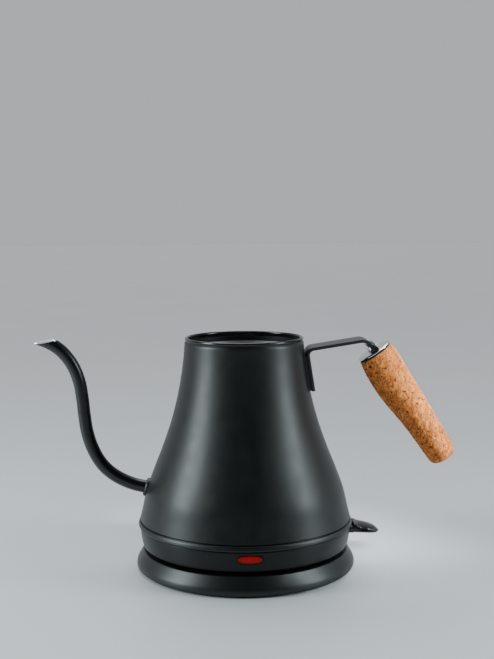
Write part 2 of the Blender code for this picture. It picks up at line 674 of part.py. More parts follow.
def build_lamp(kettle):
    sideways = Matrix.Rotation(math.pi / 2, 4, "Y")
    turned("indicator_lamp", disc(2.2, -4.5, 4.5, 0.8), WHITE_PLASTIC, (0, -65.0, LENS_CENTRE_Z),
           ROUND_SMALL, kettle, sideways)
    for name, side in (("lamp_lead_1", 1), ("lamp_lead_2", -1)):
        route = [(5.2, -65.0, 24.4), (7.5, -64.0, 24.0), (9.5, -59.0, 22.5), (10.5, -50.0, 21.0)]
        route += [(10.5, -40.0, 20.6), (9.5, -31.0, 20.6), (8.0, -26.0, 21.0)]
        points = [Vector((side * x, y, z)) for x, y, z in route]
        swept(name, points, 0.75, BLACK_RUBBER, facets=6, parent=kettle)


def build_switch(kettle):
    """Control block with two ears, the pivot pin through them, the plunger and the lever."""
    control = block("control_block", (25.5, -12.5, 18.8), (55.5, 12.5, 25.0), WHITE_PLASTIC, kettle, 0.5)
    for i, side in enumerate((1, -1), 1):
        edges = sorted((side * 10.2, side * 12.4))
        ear = block(f"control_ear_{i}", (54, edges[0], 19.4), (66.6, edges[1], 27.6), CUTTER)
        combine(control, "UNION", ear)
    across = Matrix.Rotation(math.pi / 2, 4, "X")
    px, pz = PIVOT
    pivot = (px, 0, pz)
    combine(control, "DIFFERENCE",
            turned("pivot_bore", disc(1.6, -20, 20), CUTTER, pivot, ROUND_SMALL, turn=across),
            turned("plunger_bore", disc(2.7, 10, 40), CUTTER, (PLUNGER_X, 0, 0), ROUND_SMALL))
    turned("pivot_pin", disc(1.25, -12.9, 12.9, 0.3), STEEL, pivot, ROUND_SMALL, kettle, across)
    turned("contact_plunger", disc(2.2, 19.2, 27.7, 0.4), BRASS, (PLUNGER_X, 0, 0), ROUND_SMALL, kettle)
    build_lever(kettle, pivot, across)


def build_lever(kettle, pivot, across):
    """Paddle outside the band, hub on the pin, and a finger over the plunger."""
    px, pz = PIVOT
    top = [(75.2, 28.5), (79.0, 28.3), (83.0, 27.4), (87.0, 26.2), (90.5, 24.6), (92.3, 22.9)]
    under = [(LEVER_TIP, 21.9), (92.0, 21.3), (88.0, 21.6), (82.0, 22.0), (76.0, 22.3)]
    stem = [(70.0, 21.8), (66.2, 21.6), (61.0, 21.6), (58.4, 25.6), (57.2, 28.0), (48.6, 28.0)]
    stem += [(48.6, 29.6), (58.0, 29.6), (61.5, 27.6), (66.0, 26.5), (72.0, 26.2), (74.2, 26.8)]
    half = LEVER_HALF_WIDTH
    lever = extruded("switch_lever", top + under + stem, -half, half, GLOSS_BLACK, pivot, kettle)
    plan = [(46, -3.5), (57.2, -3.5), (58.2, -9.3), (73.6, -9.3), (76.0, -half), (82.0, -half)]
    plan += [(88.0, -8.4), (91.6, -5.4), (LEVER_TIP + 0.1, -1.8)]
    plan += [(x, -y) for x, y in reversed(plan)]
    bm = bmesh.new()
    low = [bm.verts.new((x, y, 10)) for x, y in plan]
    high = [bm.verts.new((x, y, 40)) for x, y in plan]
    bm.faces.new(low)
    bm.faces.new(high)
    bridge(bm, low, high)
    combine(lever, "INTERSECT", add_object("lever_plan", bm, CUTTER))
    combine(lever, "DIFFERENCE",
            turned("lever_bore", disc(1.6, -20, 20), CUTTER, pivot, ROUND_SMALL, turn=across))


def main():
    clear_scene()
    build_base()
    build_swivel_ring()
    kettle = make_empty("kettle_axis", (0, 0, 0))
    build_shell(kettle)
    build_spout(kettle)
    build_handle(kettle)
    build_housing(kettle)
    build_socket(kettle)
    build_heater(kettle)
    build_lamp(kettle)
    build_switch(kettle)


main()
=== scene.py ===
"""Looks of an electric gooseneck kettle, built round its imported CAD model.

Dimensions are in millimetres and meshes are written in metres. +Z is up, the spout points
towards -X, the grip and the switch lever towards +X and the indicator lens towards -Y.
"""

import json
from math import atan2, copysign, cos, exp, pi, radians, sin, sqrt, tan

import bmesh
import bpy
from mathutils import Matrix, Vector, noise


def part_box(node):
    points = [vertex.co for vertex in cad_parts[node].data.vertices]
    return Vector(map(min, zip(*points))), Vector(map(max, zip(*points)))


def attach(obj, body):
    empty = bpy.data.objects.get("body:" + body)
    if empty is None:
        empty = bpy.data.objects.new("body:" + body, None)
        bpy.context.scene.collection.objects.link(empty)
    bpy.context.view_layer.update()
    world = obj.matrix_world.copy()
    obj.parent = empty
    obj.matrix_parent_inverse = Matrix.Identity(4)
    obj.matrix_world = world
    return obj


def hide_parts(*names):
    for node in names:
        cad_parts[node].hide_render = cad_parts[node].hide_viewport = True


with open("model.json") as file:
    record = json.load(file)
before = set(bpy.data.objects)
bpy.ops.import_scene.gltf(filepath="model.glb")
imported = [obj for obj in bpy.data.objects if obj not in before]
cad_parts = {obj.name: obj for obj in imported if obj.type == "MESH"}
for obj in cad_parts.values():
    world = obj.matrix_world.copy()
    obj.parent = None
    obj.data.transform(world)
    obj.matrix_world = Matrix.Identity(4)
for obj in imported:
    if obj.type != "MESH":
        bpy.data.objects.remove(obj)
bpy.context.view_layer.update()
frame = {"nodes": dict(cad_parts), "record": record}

# The body that each CAD node moves with, and the material slot it has in the record
BODY_OF = {node: body for body, nodes in frame["record"]["behaviour"]["bodies"].items() for node in nodes}
SLOT_OF = {part["node"]: part["material_slot"] for part in frame["record"]["subparts"]}
replaced = set()

MM = 0.001

# Facets round a turned piece
LARGE = 192
MEDIUM = 96
SMALL = 48

EDGE = 0.25  # usual rounding of an edge
EDGE_STEPS = 4
SHARP = radians(38)

# Camera
CAMERA_AT = (-30.65, -749.2, 239.5)
CAMERA_PITCH = 5.82
CAMERA_TURN = 2.5
CAMERA_ROLL = -0.36
SENSOR = 24.0
LENS = 40.26

# Shell: (height, outer radius), widest at the seam and narrow at the mouth
SHELL_OUTLINE = (
    (34.0, 72.37), (42.0, 70.45), (54.0, 67.61), (68.0, 62.53), (84.0, 56.19),
    (102.0, 50.04), (122.0, 45.03), (142.0, 41.79), (158.0, 40.39),
)
SHELL_STEP = 1.4  # height of one ring of faces
COAT = 0.55  # the shell's outer skin; the steel liner is the rest of the wall
SHELL_WALL = 1.0
RIM_ROLL = 1.15
RIM_CREASE = 0.6
CREASE_HEIGHT = 1.3
COAT_INSIDE = 7.0  # how far the coating reaches down inside the mouth
SKIN_GAP = 0.02  # between a coating and the steel under it

# Spout: centre line in the XZ plane, from inside the shell to the mouth
SPOUT_ROUTE = (
    (-67.2, 54.8), (-76.7, 57.2), (-86.4, 61.6), (-94.5, 67.6), (-100.6, 75.3),
    (-105.0, 84.6), (-107.9, 94.9), (-109.4, 105.8), (-110.5, 117.1), (-112.4, 128.7),
    (-116.7, 139.9), (-124.1, 149.7), (-133.5, 156.0), (-143.0, 159.2), (-151.0, 161.0),
)
SPOUT_STATIONS = 180
SPOUT_OUTER = 4.4
SPOUT_WALL = 0.8
SPOUT_SKIN = 0.4
SPOUT_LIP_ROUND = 0.16
MOUTH_LIP = Vector((-145.2, 0, 154.7))
MOUTH_HEEL = Vector((-127.1, 0, 157.1))
MOUTH_NORMAL = Vector((MOUTH_LIP.z - MOUTH_HEEL.z, 0, MOUTH_HEEL.x - MOUTH_LIP.x)).normalized()
LIP_ROUND = 0.5
COLLAR_HEIGHT = 54.7
COLLAR_LEAN = radians(73)
COLLAR_RADIUS = 6.5
COLLAR_RISE = 1.9

# Handle bracket
STRAP_WIDTH = 21.0
STRAP_THICKNESS = 2.3
STRAP_EDGE = 0.55
STRAP_FOOT = (46.75, 121.4)
STRAP_CORNER = (42.35, 149.55)
STRAP_BEND = 4.3
STRAP_NECK_BEND = 8.0
NECK_START = -9.1
NECK_END = -3.95
FERRULE_TOP = -5.2
FERRULE_HALF_DEPTH = 3.0
FERRULE_WAIST = -2.7
FERRULE_PLATE = 1.04

# Grip
GRIP_TOP = (88.7, 148.36)
GRIP_LEAN = radians(33.4)
GRIP_LENGTH = 91.2
CAP_RADIUS = 12.2
BORE_RADIUS = 2.9
CORK_OUTLINE = (
    (2.9, 12.2), (8.0, 13.0), (14.0, 13.5), (22.0, 13.55), (32.0, 13.25),
    (44.0, 12.45), (56.0, 11.4), (68.0, 10.75), (80.0, 10.35), (86.0, 10.1),
)
CORK_SWELL = 0.9
CORK_SWELL_AT = 28.0
CORK_SWELL_SPREAD = 17.0
CORK_END_ROUND = 4.6
CORK_POCKET = 80.0
POCKET_RADIUS = 6.0
CORK_RINGS = 170
CORK_FACETS = 144

# Band round the kettle's foot, with the lens in front and the lever's slot behind
BAND_TOP = 33.3
LENS_LENGTH = 16.4
LENS_HEIGHT = 5.2
LENS_CENTRE_Z = 24.4
LENS_RADIUS = 72.1
LENS_EDGE = 0.7
LENS_DEPTH = 2.4
WINDOW_GAP = 0.3
SLOT_LOW = (62.0, -10.3, 19.6)
SLOT_HIGH = (80.0, 10.3, 29.0)
BOSS_BORE = 1.7

# Lever
PIVOT = (63.5, 24.2)
PIVOT_BORE = 1.6
PADDLE_ROOT = 75.3
PADDLE_FLANK = 80.0
PADDLE_TIP = 92.8
PADDLE_HALF = 9.5
PADDLE_CROWN = 0.42  # share of its thickness that the paddle loses towards its sides
PADDLE_DRAFT = 0.26
# (x, half width, underside, top) of the hidden inner part, from the finger to the band
LEVER_STEM = (
    (48.6, 3.5, 28.0, 29.6), (57.0, 3.5, 28.0, 29.6), (58.4, 9.2, 25.7, 29.4),
    (61.4, 9.3, 21.7, 27.6), (66.2, 9.3, 21.6, 26.5), (73.6, 9.3, 22.0, 26.3),
)
PADDLE_TOP = ((75.3, 28.5), (79.0, 28.3), (83.0, 27.4), (87.0, 26.2), (90.5, 24.6), (92.8, 22.6))
PADDLE_UNDER = ((75.3, 22.3), (80.0, 22.1), (86.0, 21.7), (90.5, 21.4), (92.8, 21.9))
LEVER_FACETS = 72


def low(node):
    """Lowest corner of a CAD node's box, in millimetres."""
    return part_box(node)[0] / MM


def high(node):
    """Highest corner of a CAD node's box, in millimetres."""
    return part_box(node)[1] / MM


# ---- curves and outlines


def smooth_curve(knots, count):
    """Points along a Catmull-Rom curve through 2-D knots, evenly spread by knot."""
    padded = [2 * Vector(knots[0]) - Vector(knots[1])]
    padded += [Vector(knot) for knot in knots]
    padded.append(2 * padded[-1] - padded[-2])
    points = []
    for step in range(count):
        place = step / (count - 1) * (len(knots) - 1)
        start = min(int(place), len(knots) - 2)
        u = place - start
        a, b, c, d = padded[start : start + 4]
        bend = (2 * a - 5 * b + 4 * c - d) * u + (3 * b - a - 3 * c + d) * u * u
        points.append(0.5 * (2 * b + ((c - a) + bend) * u))
    return points


def value_on(curve, x):
    """The second value of a list of (x, value) points at x, between its neighbours."""
    for before, after in zip(curve, curve[1:]):
        if x <= after[0]:
            break
    share = (x - before[0]) / (after[0] - before[0])
    return before[1] + share * (after[1] - before[1])


SHELL_CURVE = smooth_curve(SHELL_OUTLINE, 321)


def shell_radius(height):
    return value_on(SHELL_CURVE, height)


def heading(route, i):
    """Direction of a route at point i, taken across its neighbours."""
    return (route[min(i + 1, len(route) - 1)] - route[max(i - 1, 0)]).normalized()


def turns(count):
    """Angles spread evenly round a circle."""
    return [2 * pi * i / count for i in range(count)]


def arc(centre, radius, start, end, count):
    """Points on a circular arc in a plane, angles in degrees."""
    angles = [radians(start + (end - start) * i / (count - 1)) for i in range(count)]
    return [(centre[0] + radius * cos(a), centre[1] + radius * sin(a)) for a in angles]


def ring_positions(circle, count, first):
    """Centres spread evenly round a circle, first angle in degrees."""
    angles = [radians(first + 360 * i / count) for i in range(count)]
    return [(circle * cos(a), circle * sin(a)) for a in angles]


KETTLE_SCREWS = ring_positions(61.5, 3, 60)
BASE_SCREWS = ring_positions(40.0, 3, 90)
FEET = ring_positions(62.0, 4, 45)


def rounded_rectangle(width, thickness, radius, steps=5):
    """Outline round the origin as (across, up) points."""
    x, y = width / 2 - radius, thickness / 2 - radius
    outline = []
    for centre, start in (((x, y), 0), ((-x, y), 90), ((-x, -y), 180), ((x, -y), 270)):
        outline += arc(centre, radius, start, start + 90, steps)
    return outline


def fillet(corner, before, after, radius, count):
    """Points of the arc that rounds a corner between two straight runs in a plane."""
    inward = (before - corner).normalized()
    outward = (after - corner).normalized()
    half = inward.angle(outward) / 2
    reach = radius / tan(half)
    centre = corner + (inward + outward).normalized() * (radius / sin(half))
    start, end = corner + inward * reach - centre, corner + outward * reach - centre
    sweep = start.angle_signed(end)
    return [centre + Matrix.Rotation(-sweep * i / (count - 1), 2) @ start for i in range(count)]


def softened(corners, steps=EDGE_STEPS):
    """Closed (radius, height) outline with rounded corners.

    A corner may carry its own rounding as a third number. Corners on the axis stay sharp.
    """
    points = []
    for i, corner in enumerate(corners):
        here = Vector(corner[:2])
        size = corner[2] if len(corner) > 2 else EDGE
        before = Vector(corners[i - 1][:2]) - here
        after = Vector(corners[(i + 1) % len(corners)][:2]) - here
        opening = before.angle(after, 0)
        if size == 0 or here.x == 0 or opening > radians(172) or opening < radians(3):
            points.append(here)
            continue
        reach = min(size / tan(opening / 2), 0.45 * before.length, 0.45 * after.length)
        start = here + before.normalized() * reach
        end = here + after.normalized() * reach
        for k in range(steps + 1):
            t = k / steps
            points.append((1 - t) ** 2 * start + 2 * t * (1 - t) * here + t * t * end)
    return points


def sharp(points):
    """Corners that softened leaves as they are."""
    return [(point[0], point[1], 0) for point in points]


# ---- mesh helpers


def bridge(bm, first, second):
    """Faces between two rings of vertices. A ring of one vertex is a pole."""
    count = max(len(first), len(second))
    for i in range(count):
        j = (i + 1) % count
        corners = [first[i % len(first)], first[j % len(first)]]
        corners += [second[j % len(second)], second[i % len(second)]]
        bm.faces.new(list(dict.fromkeys(corners)))


def add_rings(bm, rings, looped=False):
    """Skins rings of points in a bmesh, and the last ring to the first one too if looped."""
    made = [[bm.verts.new(point) for point in ring] for ring in rings]
    for first, second in zip(made, made[1:] + made[: int(looped)]):
        if len(first) > 1 or len(second) > 1:
            bridge(bm, first, second)
    return made


def wound(rings, place=None):
    """bmesh through rings of points that come back to the first ring."""
    bm = bmesh.new()
    add_rings(bm, rings, looped=True)
    if place:
        bmesh.ops.transform(bm, matrix=place, verts=bm.verts)
    return bm


def loft(rings):
    """bmesh through a list of rings of points, with the ends capped."""
    bm = bmesh.new()
    made = add_rings(bm, rings)
    for ring in (made[0], made[-1]):
        bm.faces.new(ring)
    return bm


def lathe(profile, facets=LARGE, place=None):
    """bmesh turned about Z from a closed (radius, height) profile; radius 0 is a pole."""
    rings = []
    for radius, height in profile:
        angles = turns(facets) if radius > 0 else (0.0,)
        rings.append([(radius * cos(a), radius * sin(a), height) for a in angles])
    return wound(rings, place)


def stand_at(spot):
    return Matrix.Translation((*spot, 0))


def rod(radius, start, end, place):
    """bmesh of a plain round bar, which cuts a hole."""
    return lathe([(0, start), (radius, start), (radius, end), (0, end)], SMALL, place)


def box_between(lowest, highest):
    (x0, y0, z0), (x1, y1, z1) = lowest, highest
    return prism([(x0, z0), (x1, z0), (x1, z1), (x0, z1)], y0, y1)


def prism(outline, start, end):
    """bmesh of an XZ outline drawn from Y = start to Y = end."""
    return loft([[(x, start, z) for x, z in outline], [(x, end, z) for x, z in outline]])


def make_object(name, bm):
    """Object from a bmesh in millimetres, its origin at the frame's origin."""
    bmesh.ops.recalc_face_normals(bm, faces=bm.faces)
    bmesh.ops.transform(bm, matrix=Matrix.Scale(MM, 4), verts=bm.verts)
    mesh = bpy.data.meshes.new(name)
    bm.to_mesh(mesh)
    bm.free()
    piece = bpy.data.objects.new(name, mesh)
    bpy.context.scene.collection.objects.link(piece)
    return piece


def carve(piece, tools, operation):
    """Applies each bmesh to the piece with a Boolean, and keeps the result as the piece's mesh."""
    for bm in tools:
        tool = make_object("tool", bm)
        modifier = piece.modifiers.new("carve", "BOOLEAN")
        modifier.operation = operation
        modifier.object = tool
        modifier.solver = "EXACT"
        graph = bpy.context.evaluated_depsgraph_get()
        mesh = bpy.data.meshes.new_from_object(piece.evaluated_get(graph))
        piece.modifiers.clear()
        old = piece.data
        piece.data = mesh
        bpy.data.meshes.remove(old)
        bpy.data.objects.remove(tool)


def add_piece(name, bm, node, look=None, slot=None, cut=(), join=()):
    """Makes a piece that stands for a CAD node and moves with the node's body; slot is the node's own unless
    another is given.

    Its look is the slot's own unless another is given. cut and join are bmeshes that are taken
    from the piece or added to it.
    """
    slot = slot or SLOT_OF[node]
    piece = make_object(name, bm)
    carve(piece, cut, "DIFFERENCE")
    carve(piece, join, "UNION")
    piece.data.materials.clear()
    piece.data.materials.append(LOOKS[look or slot])
    piece.data.shade_smooth()
    piece.data.set_sharp_from_angle(angle=SHARP)
    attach(piece, BODY_OF[node])
    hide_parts(node)
    replaced.add(node)


# ---- materials


def shade(color, share):
    return tuple(share * part for part in color)


class Nodes:
    """Short ways to add shader nodes to a tree. An input is a value or another node's output."""

    def __init__(self, tree):
        self.tree = tree

    def add(self, kind, inputs, **settings):
        node = self.tree.nodes.new("ShaderNode" + kind)
        for key, value in settings.items():
            setattr(node, key, value)
        for key, value in inputs.items():
            if isinstance(value, bpy.types.NodeSocket):
                self.tree.links.new(value, node.inputs[key])
            else:
                node.inputs[key].default_value = value
        return node

    def maths(self, operation, first, second=0.0):
        return self.add("Math", {0: first, 1: second}, operation=operation).outputs["Value"]

    def weigh(self, first, share, second, rest):
        """first times share, plus second times rest, where each is a number or an output."""
        parts = self.maths("MULTIPLY", first, share), self.maths("MULTIPLY", second, rest)
        return self.maths("ADD", *parts)

    def spread(self, factor, start, end, from_low=0.0, from_high=1.0):
        """A factor spread over another range."""
        values = {"From Min": from_low, "From Max": from_high, "To Min": start, "To Max": end}
        return self.add("MapRange", {"Value": factor, **values}).outputs["Result"]

    def ramp(self, factor, *stops):
        """Colour ramp through (position, colour) stops."""
        ramp = self.add("ValToRGB", {"Fac": factor})
        elements = ramp.color_ramp.elements
        while len(elements) < len(stops):
            elements.new(0.5)
        for element, (position, color) in zip(elements, stops):
            element.position = position
            element.color = (*color, 1.0)
        return ramp.outputs["Color"]

    def mix(self, factor, first, second, blend="MIX"):
        """Mixes second into first by the factor. A colour is an output or three numbers."""
        first, second = [(*color, 1.0) if isinstance(color, tuple) else color for color in (first, second)]
        values = {0: factor, 6: first, 7: second}
        return self.add("Mix", values, data_type="RGBA", blend_type=blend).outputs[2]


class Surface(Nodes):
    """A material in the making. at is the place on the surface in millimetres."""

    def __init__(self, name, roughness, metallic=0.0, **sockets):
        self.material = bpy.data.materials.new(name)
        self.material.use_nodes = True
        super().__init__(self.material.node_tree)
        self.shader = self.tree.nodes["Principled BSDF"]
        for key, value in {"Roughness": roughness, "Metallic": metallic, **sockets}.items():
            self.shader.inputs[key.replace("_", " ")].default_value = value
        place = self.add("TexCoord", {}).outputs["Object"]
        self.at = self.add("VectorMath", {0: place, "Scale": 1 / MM}, operation="SCALE").outputs["Vector"]

    def noise(self, size, detail=2.0, roughness=0.5, distortion=0.0, at=None):
        """Noise whose blobs are about this many millimetres across."""
        values = {"Vector": at or self.at, "Scale": 1 / size, "Detail": detail, "Roughness": roughness}
        return self.add("TexNoise", {**values, "Distortion": distortion}).outputs["Fac"]

    def stretched(self, scale, turn=(0, 0, 0)):
        return self.add("Mapping", {"Vector": self.at, "Scale": scale, "Rotation": turn}).outputs["Vector"]

    def round_axis(self, centre=(0, 0, 0), share=1.0):
        """(distance, share of the angle, height) of a point round a vertical axis."""
        moved = self.add("VectorMath", {0: self.at, 1: centre}, operation="SUBTRACT").outputs["Vector"]
        parts = self.add("SeparateXYZ", {"Vector": moved}).outputs
        angle = self.maths("MULTIPLY", self.maths("ARCTAN2", parts["Y"], parts["X"]), share)
        radius = self.maths("SQRT", self.weigh(parts["X"], parts["X"], parts["Y"], parts["Y"]))
        return self.add("CombineXYZ", {"X": radius, "Y": angle, "Z": parts["Z"]}).outputs["Vector"]

    def finished(self, color, roughness, *bumps):
        """The material, given its colour, its roughness and bumps of (height, millimetres, strength)."""
        normal = None
        for height, depth, strength in bumps:
            values = {"Height": height, "Distance": depth * MM, "Strength": strength}
            if normal is not None:
                values["Normal"] = normal
            normal = self.add("Bump", values).outputs["Normal"]
        for socket, output in (("Base Color", color), ("Roughness", roughness), ("Normal", normal)):
            self.tree.links.new(output, self.shader.inputs[socket])
        return self.material


def coated_metal(name, roughness, color=(0.0040, 0.0052, 0.0054)):
    """Matt black coating: fine grain, a slight waviness and a faint uneven sheen."""
    coat = Surface(name, roughness, Specular_IOR_Level=0.5)
    grain = coat.noise(0.32, 3.0, 0.65)
    tone = coat.weigh(coat.noise(9.0, 3.0), 0.6, grain, 0.4)
    return coat.finished(coat.ramp(tone, (0.35, shade(color, 0.82)), (0.65, shade(color, 1.18))),
                         coat.spread(tone, roughness - 0.05, roughness + 0.05, 0.3, 0.7),
                         (coat.noise(1.7), 0.012, 0.5), (grain, 0.006, 0.35))


def satin_plastic(name, roughness, gloss, color=(0.0042, 0.0052, 0.0056)):
    """Moulded black plastic with a fine spark-eroded texture."""
    mould = Surface(name, roughness, Specular_IOR_Level=gloss)
    cells = mould.add("TexVoronoi", {"Vector": mould.at, "Scale": 1 / 0.38}, feature="SMOOTH_F1")
    speck = mould.noise(0.22, 2.0, 0.6)
    texture = mould.maths("ADD", cells.outputs["Distance"], mould.maths("MULTIPLY", speck, 0.6))
    return mould.finished(mould.ramp(mould.noise(14.0), (0.3, shade(color, 0.86)), (0.7, shade(color, 1.14))),
                          mould.spread(speck, roughness - 0.04, roughness + 0.05), (texture, 0.007, 0.4))


def gloss_plastic():
    """Polished black plastic with faint wiping marks."""
    gloss = Surface("black_gloss_plastic", 0.09)
    wipes = gloss.noise(0.8, 3.0, at=gloss.stretched((0.15, 1.4, 1.4), (0, 0.3, 0.5)))
    tone = gloss.ramp(gloss.noise(6.0), (0.3, (0.005, 0.005, 0.0055)), (0.7, (0.008, 0.008, 0.009)))
    waves = gloss.noise(5.0, 1.0)
    return gloss.finished(tone, gloss.spread(wipes, 0.06, 0.16, 0.35, 0.7), (waves, 0.02, 0.3))


def steel(name, color, roughness, grain, centre=None, depth=0.004):
    """Steel brushed along X, or round a vertical axis when centre is given."""
    metal = Surface(name, roughness, 1.0)
    along = metal.round_axis(centre, 2.5) if centre else metal.stretched((0.04, 1.0, 1.0))
    streaks = metal.noise(grain, 4.0, 0.7, at=along)
    tone = metal.weigh(streaks, 0.6, metal.noise(18.0, 3.0), 0.4)
    return metal.finished(metal.ramp(tone, (0.32, shade(color, 0.8)), (0.66, color)),
                          metal.spread(streaks, roughness * 0.75, roughness * 1.3, 0.3, 0.7),
                          (streaks, depth, 0.6))


def brass():
    """Contact brass with light tarnish."""
    metal = Surface("contact_brass", 0.28, 1.0)
    lines = metal.noise(0.35, 3.0, 0.6, at=metal.round_axis())
    stain = metal.noise(3.5, 4.0, 0.6, 0.6)
    return metal.finished(metal.ramp(stain, (0.3, (0.46, 0.29, 0.11)), (0.55, (0.83, 0.60, 0.26))),
                          metal.spread(stain, 0.42, 0.2, 0.3, 0.65), (lines, 0.006, 0.5))


def cork():
    """Cork: warm fine grain lying across the grip, soft patches, brown flecks and open pores."""
    bark = Surface("natural_cork", 0.7, Specular_IOR_Level=0.22, Sheen_Weight=0.05, Sheen_Roughness=0.35)
    layers = bark.stretched((1.0, 0.42, 0.42), (0.0, pi / 2 - GRIP_LEAN, 0.0))
    grain = bark.noise(0.85, 5.0, 0.62, 0.7, layers)
    mixed = bark.weigh(grain, 0.6, bark.noise(2.6, 3.0, 0.55, 0.5, layers), 0.4)
    color = bark.ramp(mixed, (0.36, (0.27, 0.065, 0.011)), (0.44, (0.52, 0.143, 0.026)),
                      (0.52, (0.77, 0.243, 0.052)), (0.62, (0.94, 0.39, 0.112)))
    patches = bark.ramp(bark.noise(7.0, 3.0, 0.6), (0.32, (0.78, 0.72, 0.56)), (0.56, (1.0, 1.0, 1.0)))
    flecks = bark.spread(bark.noise(0.75, 1.0, 0.5, 0.4, layers), 0.0, 0.8, 0.635, 0.68)
    pores = bark.spread(bark.noise(2.1, 1.0, 0.4), 0.0, 0.92, 0.655, 0.68)
    color = bark.mix(0.8, color, patches, "MULTIPLY")
    color = bark.mix(flecks, color, (0.17, 0.045, 0.012))
    color = bark.mix(pores, color, (0.075, 0.020, 0.009))
    fine = bark.noise(0.3, 3.0, 0.7, at=layers)
    return bark.finished(color, bark.spread(fine, 0.6, 0.8), (bark.weigh(grain, 0.5, pores, -0.9), 0.2, 0.7))


def red_lens():
    """Red window, lit by the lamp behind its middle."""
    lens = Surface("indicator_red", 0.2, Specular_IOR_Level=0.2, Emission_Strength=0.36)
    parts = lens.add("SeparateXYZ", {"Vector": lens.at}).outputs
    across = lens.maths("DIVIDE", parts["X"], LENS_LENGTH / 2)
    upright = lens.maths("DIVIDE", lens.maths("SUBTRACT", parts["Z"], LENS_CENTRE_Z), LENS_HEIGHT / 2)
    reach = lens.weigh(across, across, upright, upright)
    glow = lens.ramp(reach, (0.0, (0.27, 0.0, 0.001)), (0.7, (0.18, 0.0, 0.001)),
                     (1.0, (0.04, 0.0, 0.0)))
    lens.tree.links.new(glow, lens.shader.inputs["Emission Color"])
    grain = lens.noise(0.7)
    ribs = lens.maths("SINE", lens.maths("MULTIPLY", parts["X"], 9.0))
    return lens.finished(lens.mix(lens.spread(grain, 0.0, 0.25), glow, (0.2, 0.0, 0.0)),
                         lens.spread(grain, 0.18, 0.28), (ribs, 0.02, 0.25))


def grainy(name, roughness, swing, cloud, dark, light, grain, depth, strength, **sockets):
    """Plain surface with a cloudy colour, and one grain for its roughness and bump."""
    plain = Surface(name, roughness, **sockets)
    bits = plain.noise(*grain)
    return plain.finished(plain.ramp(plain.noise(cloud, 3.0), dark, light),
                          plain.spread(bits, roughness - swing, roughness + swing), (bits, depth, strength))


# One look for each slot of the record, and the looks of single pieces
LOOKS = {
    "black_coating": coated_metal("black_powder_coat", 0.41),
    "rim_coat": coated_metal("black_rim_coat", 0.2, (0.005, 0.006, 0.0062)),
    "spout_coat": coated_metal("black_spout_coat", 0.29),
    "black_plastic": satin_plastic("black_satin_plastic", 0.36, 0.28),
    "base_plastic": satin_plastic("black_base_plastic", 0.39, 0.55),
    "gloss_black_plastic": gloss_plastic(),
    "brushed_steel": steel("brushed_steel", (0.62, 0.63, 0.64), 0.3, 0.4),
    "pot_steel": steel("pot_wall_steel", (0.74, 0.745, 0.75), 0.46, 0.5, (0, 0, 0)),
    "plate_steel": steel("pot_floor_steel", (0.6, 0.605, 0.61), 0.24, 0.45, (0, 0, 0)),
    "tube_steel": steel("steam_pipe_steel", (0.62, 0.625, 0.63), 0.2, 0.4, (33, 0, 0)),
    "polished_steel": steel("polished_steel", (0.86, 0.87, 0.88), 0.1, 0.8, None, 0.001),
    "brass": brass(),
    "cork": cork(),
    "red_lens": red_lens(),
    "black_rubber": grainy("black_rubber", 0.78, 0.1, 5.0, (0.35, (0.011, 0.011, 0.011)),
                           (0.7, (0.022, 0.022, 0.021)), (0.4, 4.0, 0.7), 0.02, 0.5, Specular_IOR_Level=0.35),
    "pale_plastic": grainy("pale_moulded_plastic", 0.42, 0.06, 7.0, (0.3, (0.66, 0.645, 0.60)),
                           (0.7, (0.74, 0.73, 0.69)), (0.5,), 0.008, 0.4, Subsurface_Weight=0.06),
    "floor": grainy("pale_floor", 0.38, 0.04, 260.0, (0.3, (0.60, 0.625, 0.65)),
                    (0.7, (0.63, 0.655, 0.68)), (1.2,), 0.01, 0.2),
}


# ---- kettle: body


def build_shell():
    """Coated outer skin, its rolled rim, and the steel liner inside it."""
    bottom, top = low("body_shell").z, high("body_shell").z
    rim = shell_radius(top - 1)
    crease_top = top - 2 * RIM_ROLL
    wall_top = crease_top - CREASE_HEIGHT
    start = bottom + 0.35
    count = round((wall_top - bottom) / SHELL_STEP)
    heights = [start + (wall_top - start) * i / count for i in range(count + 1)]
    outside = [(shell_radius(z), z) for z in heights]
    crease = [(rim - 0.10, wall_top + 0.42), (rim - 0.34, wall_top + 0.78)]
    crease.append((rim - RIM_CREASE, crease_top - 0.1))
    roll = arc((rim - RIM_ROLL, top - RIM_ROLL), RIM_ROLL, -50, 235, 34)
    coat_end = top - COAT_INSIDE
    inside_top = [(rim - SHELL_WALL - 0.3, crease_top - 0.35), (rim - SHELL_WALL, crease_top - 1.1)]
    inside_top += [(shell_radius(z) - SHELL_WALL, z) for z in reversed(heights) if z > coat_end]
    inside_top.append((shell_radius(coat_end) - SHELL_WALL, coat_end))
    parting = [(shell_radius(z) - COAT, z) for z in reversed(heights) if z < coat_end - 0.2]
    edge = [(shell_radius(bottom) - COAT, bottom), (shell_radius(bottom) - 0.25, bottom)]
    skin = outside + crease + [roll[0], roll[-1]] + inside_top + parting + edge
    liner_heights = [z for z in heights if z < coat_end - 0.3] + [coat_end - 0.15]
    liner = [(shell_radius(z) - COAT - SKIN_GAP, z) for z in liner_heights]
    liner += [(shell_radius(z) - SHELL_WALL, z) for z in reversed(liner_heights)]

    root = Vector(SPOUT_ROUTE[0])
    along = (Vector(SPOUT_ROUTE[1]) - root).normalized()
    place = Matrix.Translation((root.x, 0, root.y)) @ Matrix.Rotation(atan2(along.x, along.y), 4, "Y")
    holes = [rod(SPOUT_OUTER + 0.1, -8, 12, place) for _ in range(2)]
    add_piece("shell_outer", lathe(skin), "body_shell", cut=holes[:1])
    add_piece("shell_rim", lathe(roll), "body_shell", "rim_coat")
    add_piece("shell_liner", lathe(liner), "body_shell", "pot_steel", "brushed_steel", cut=holes[1:])


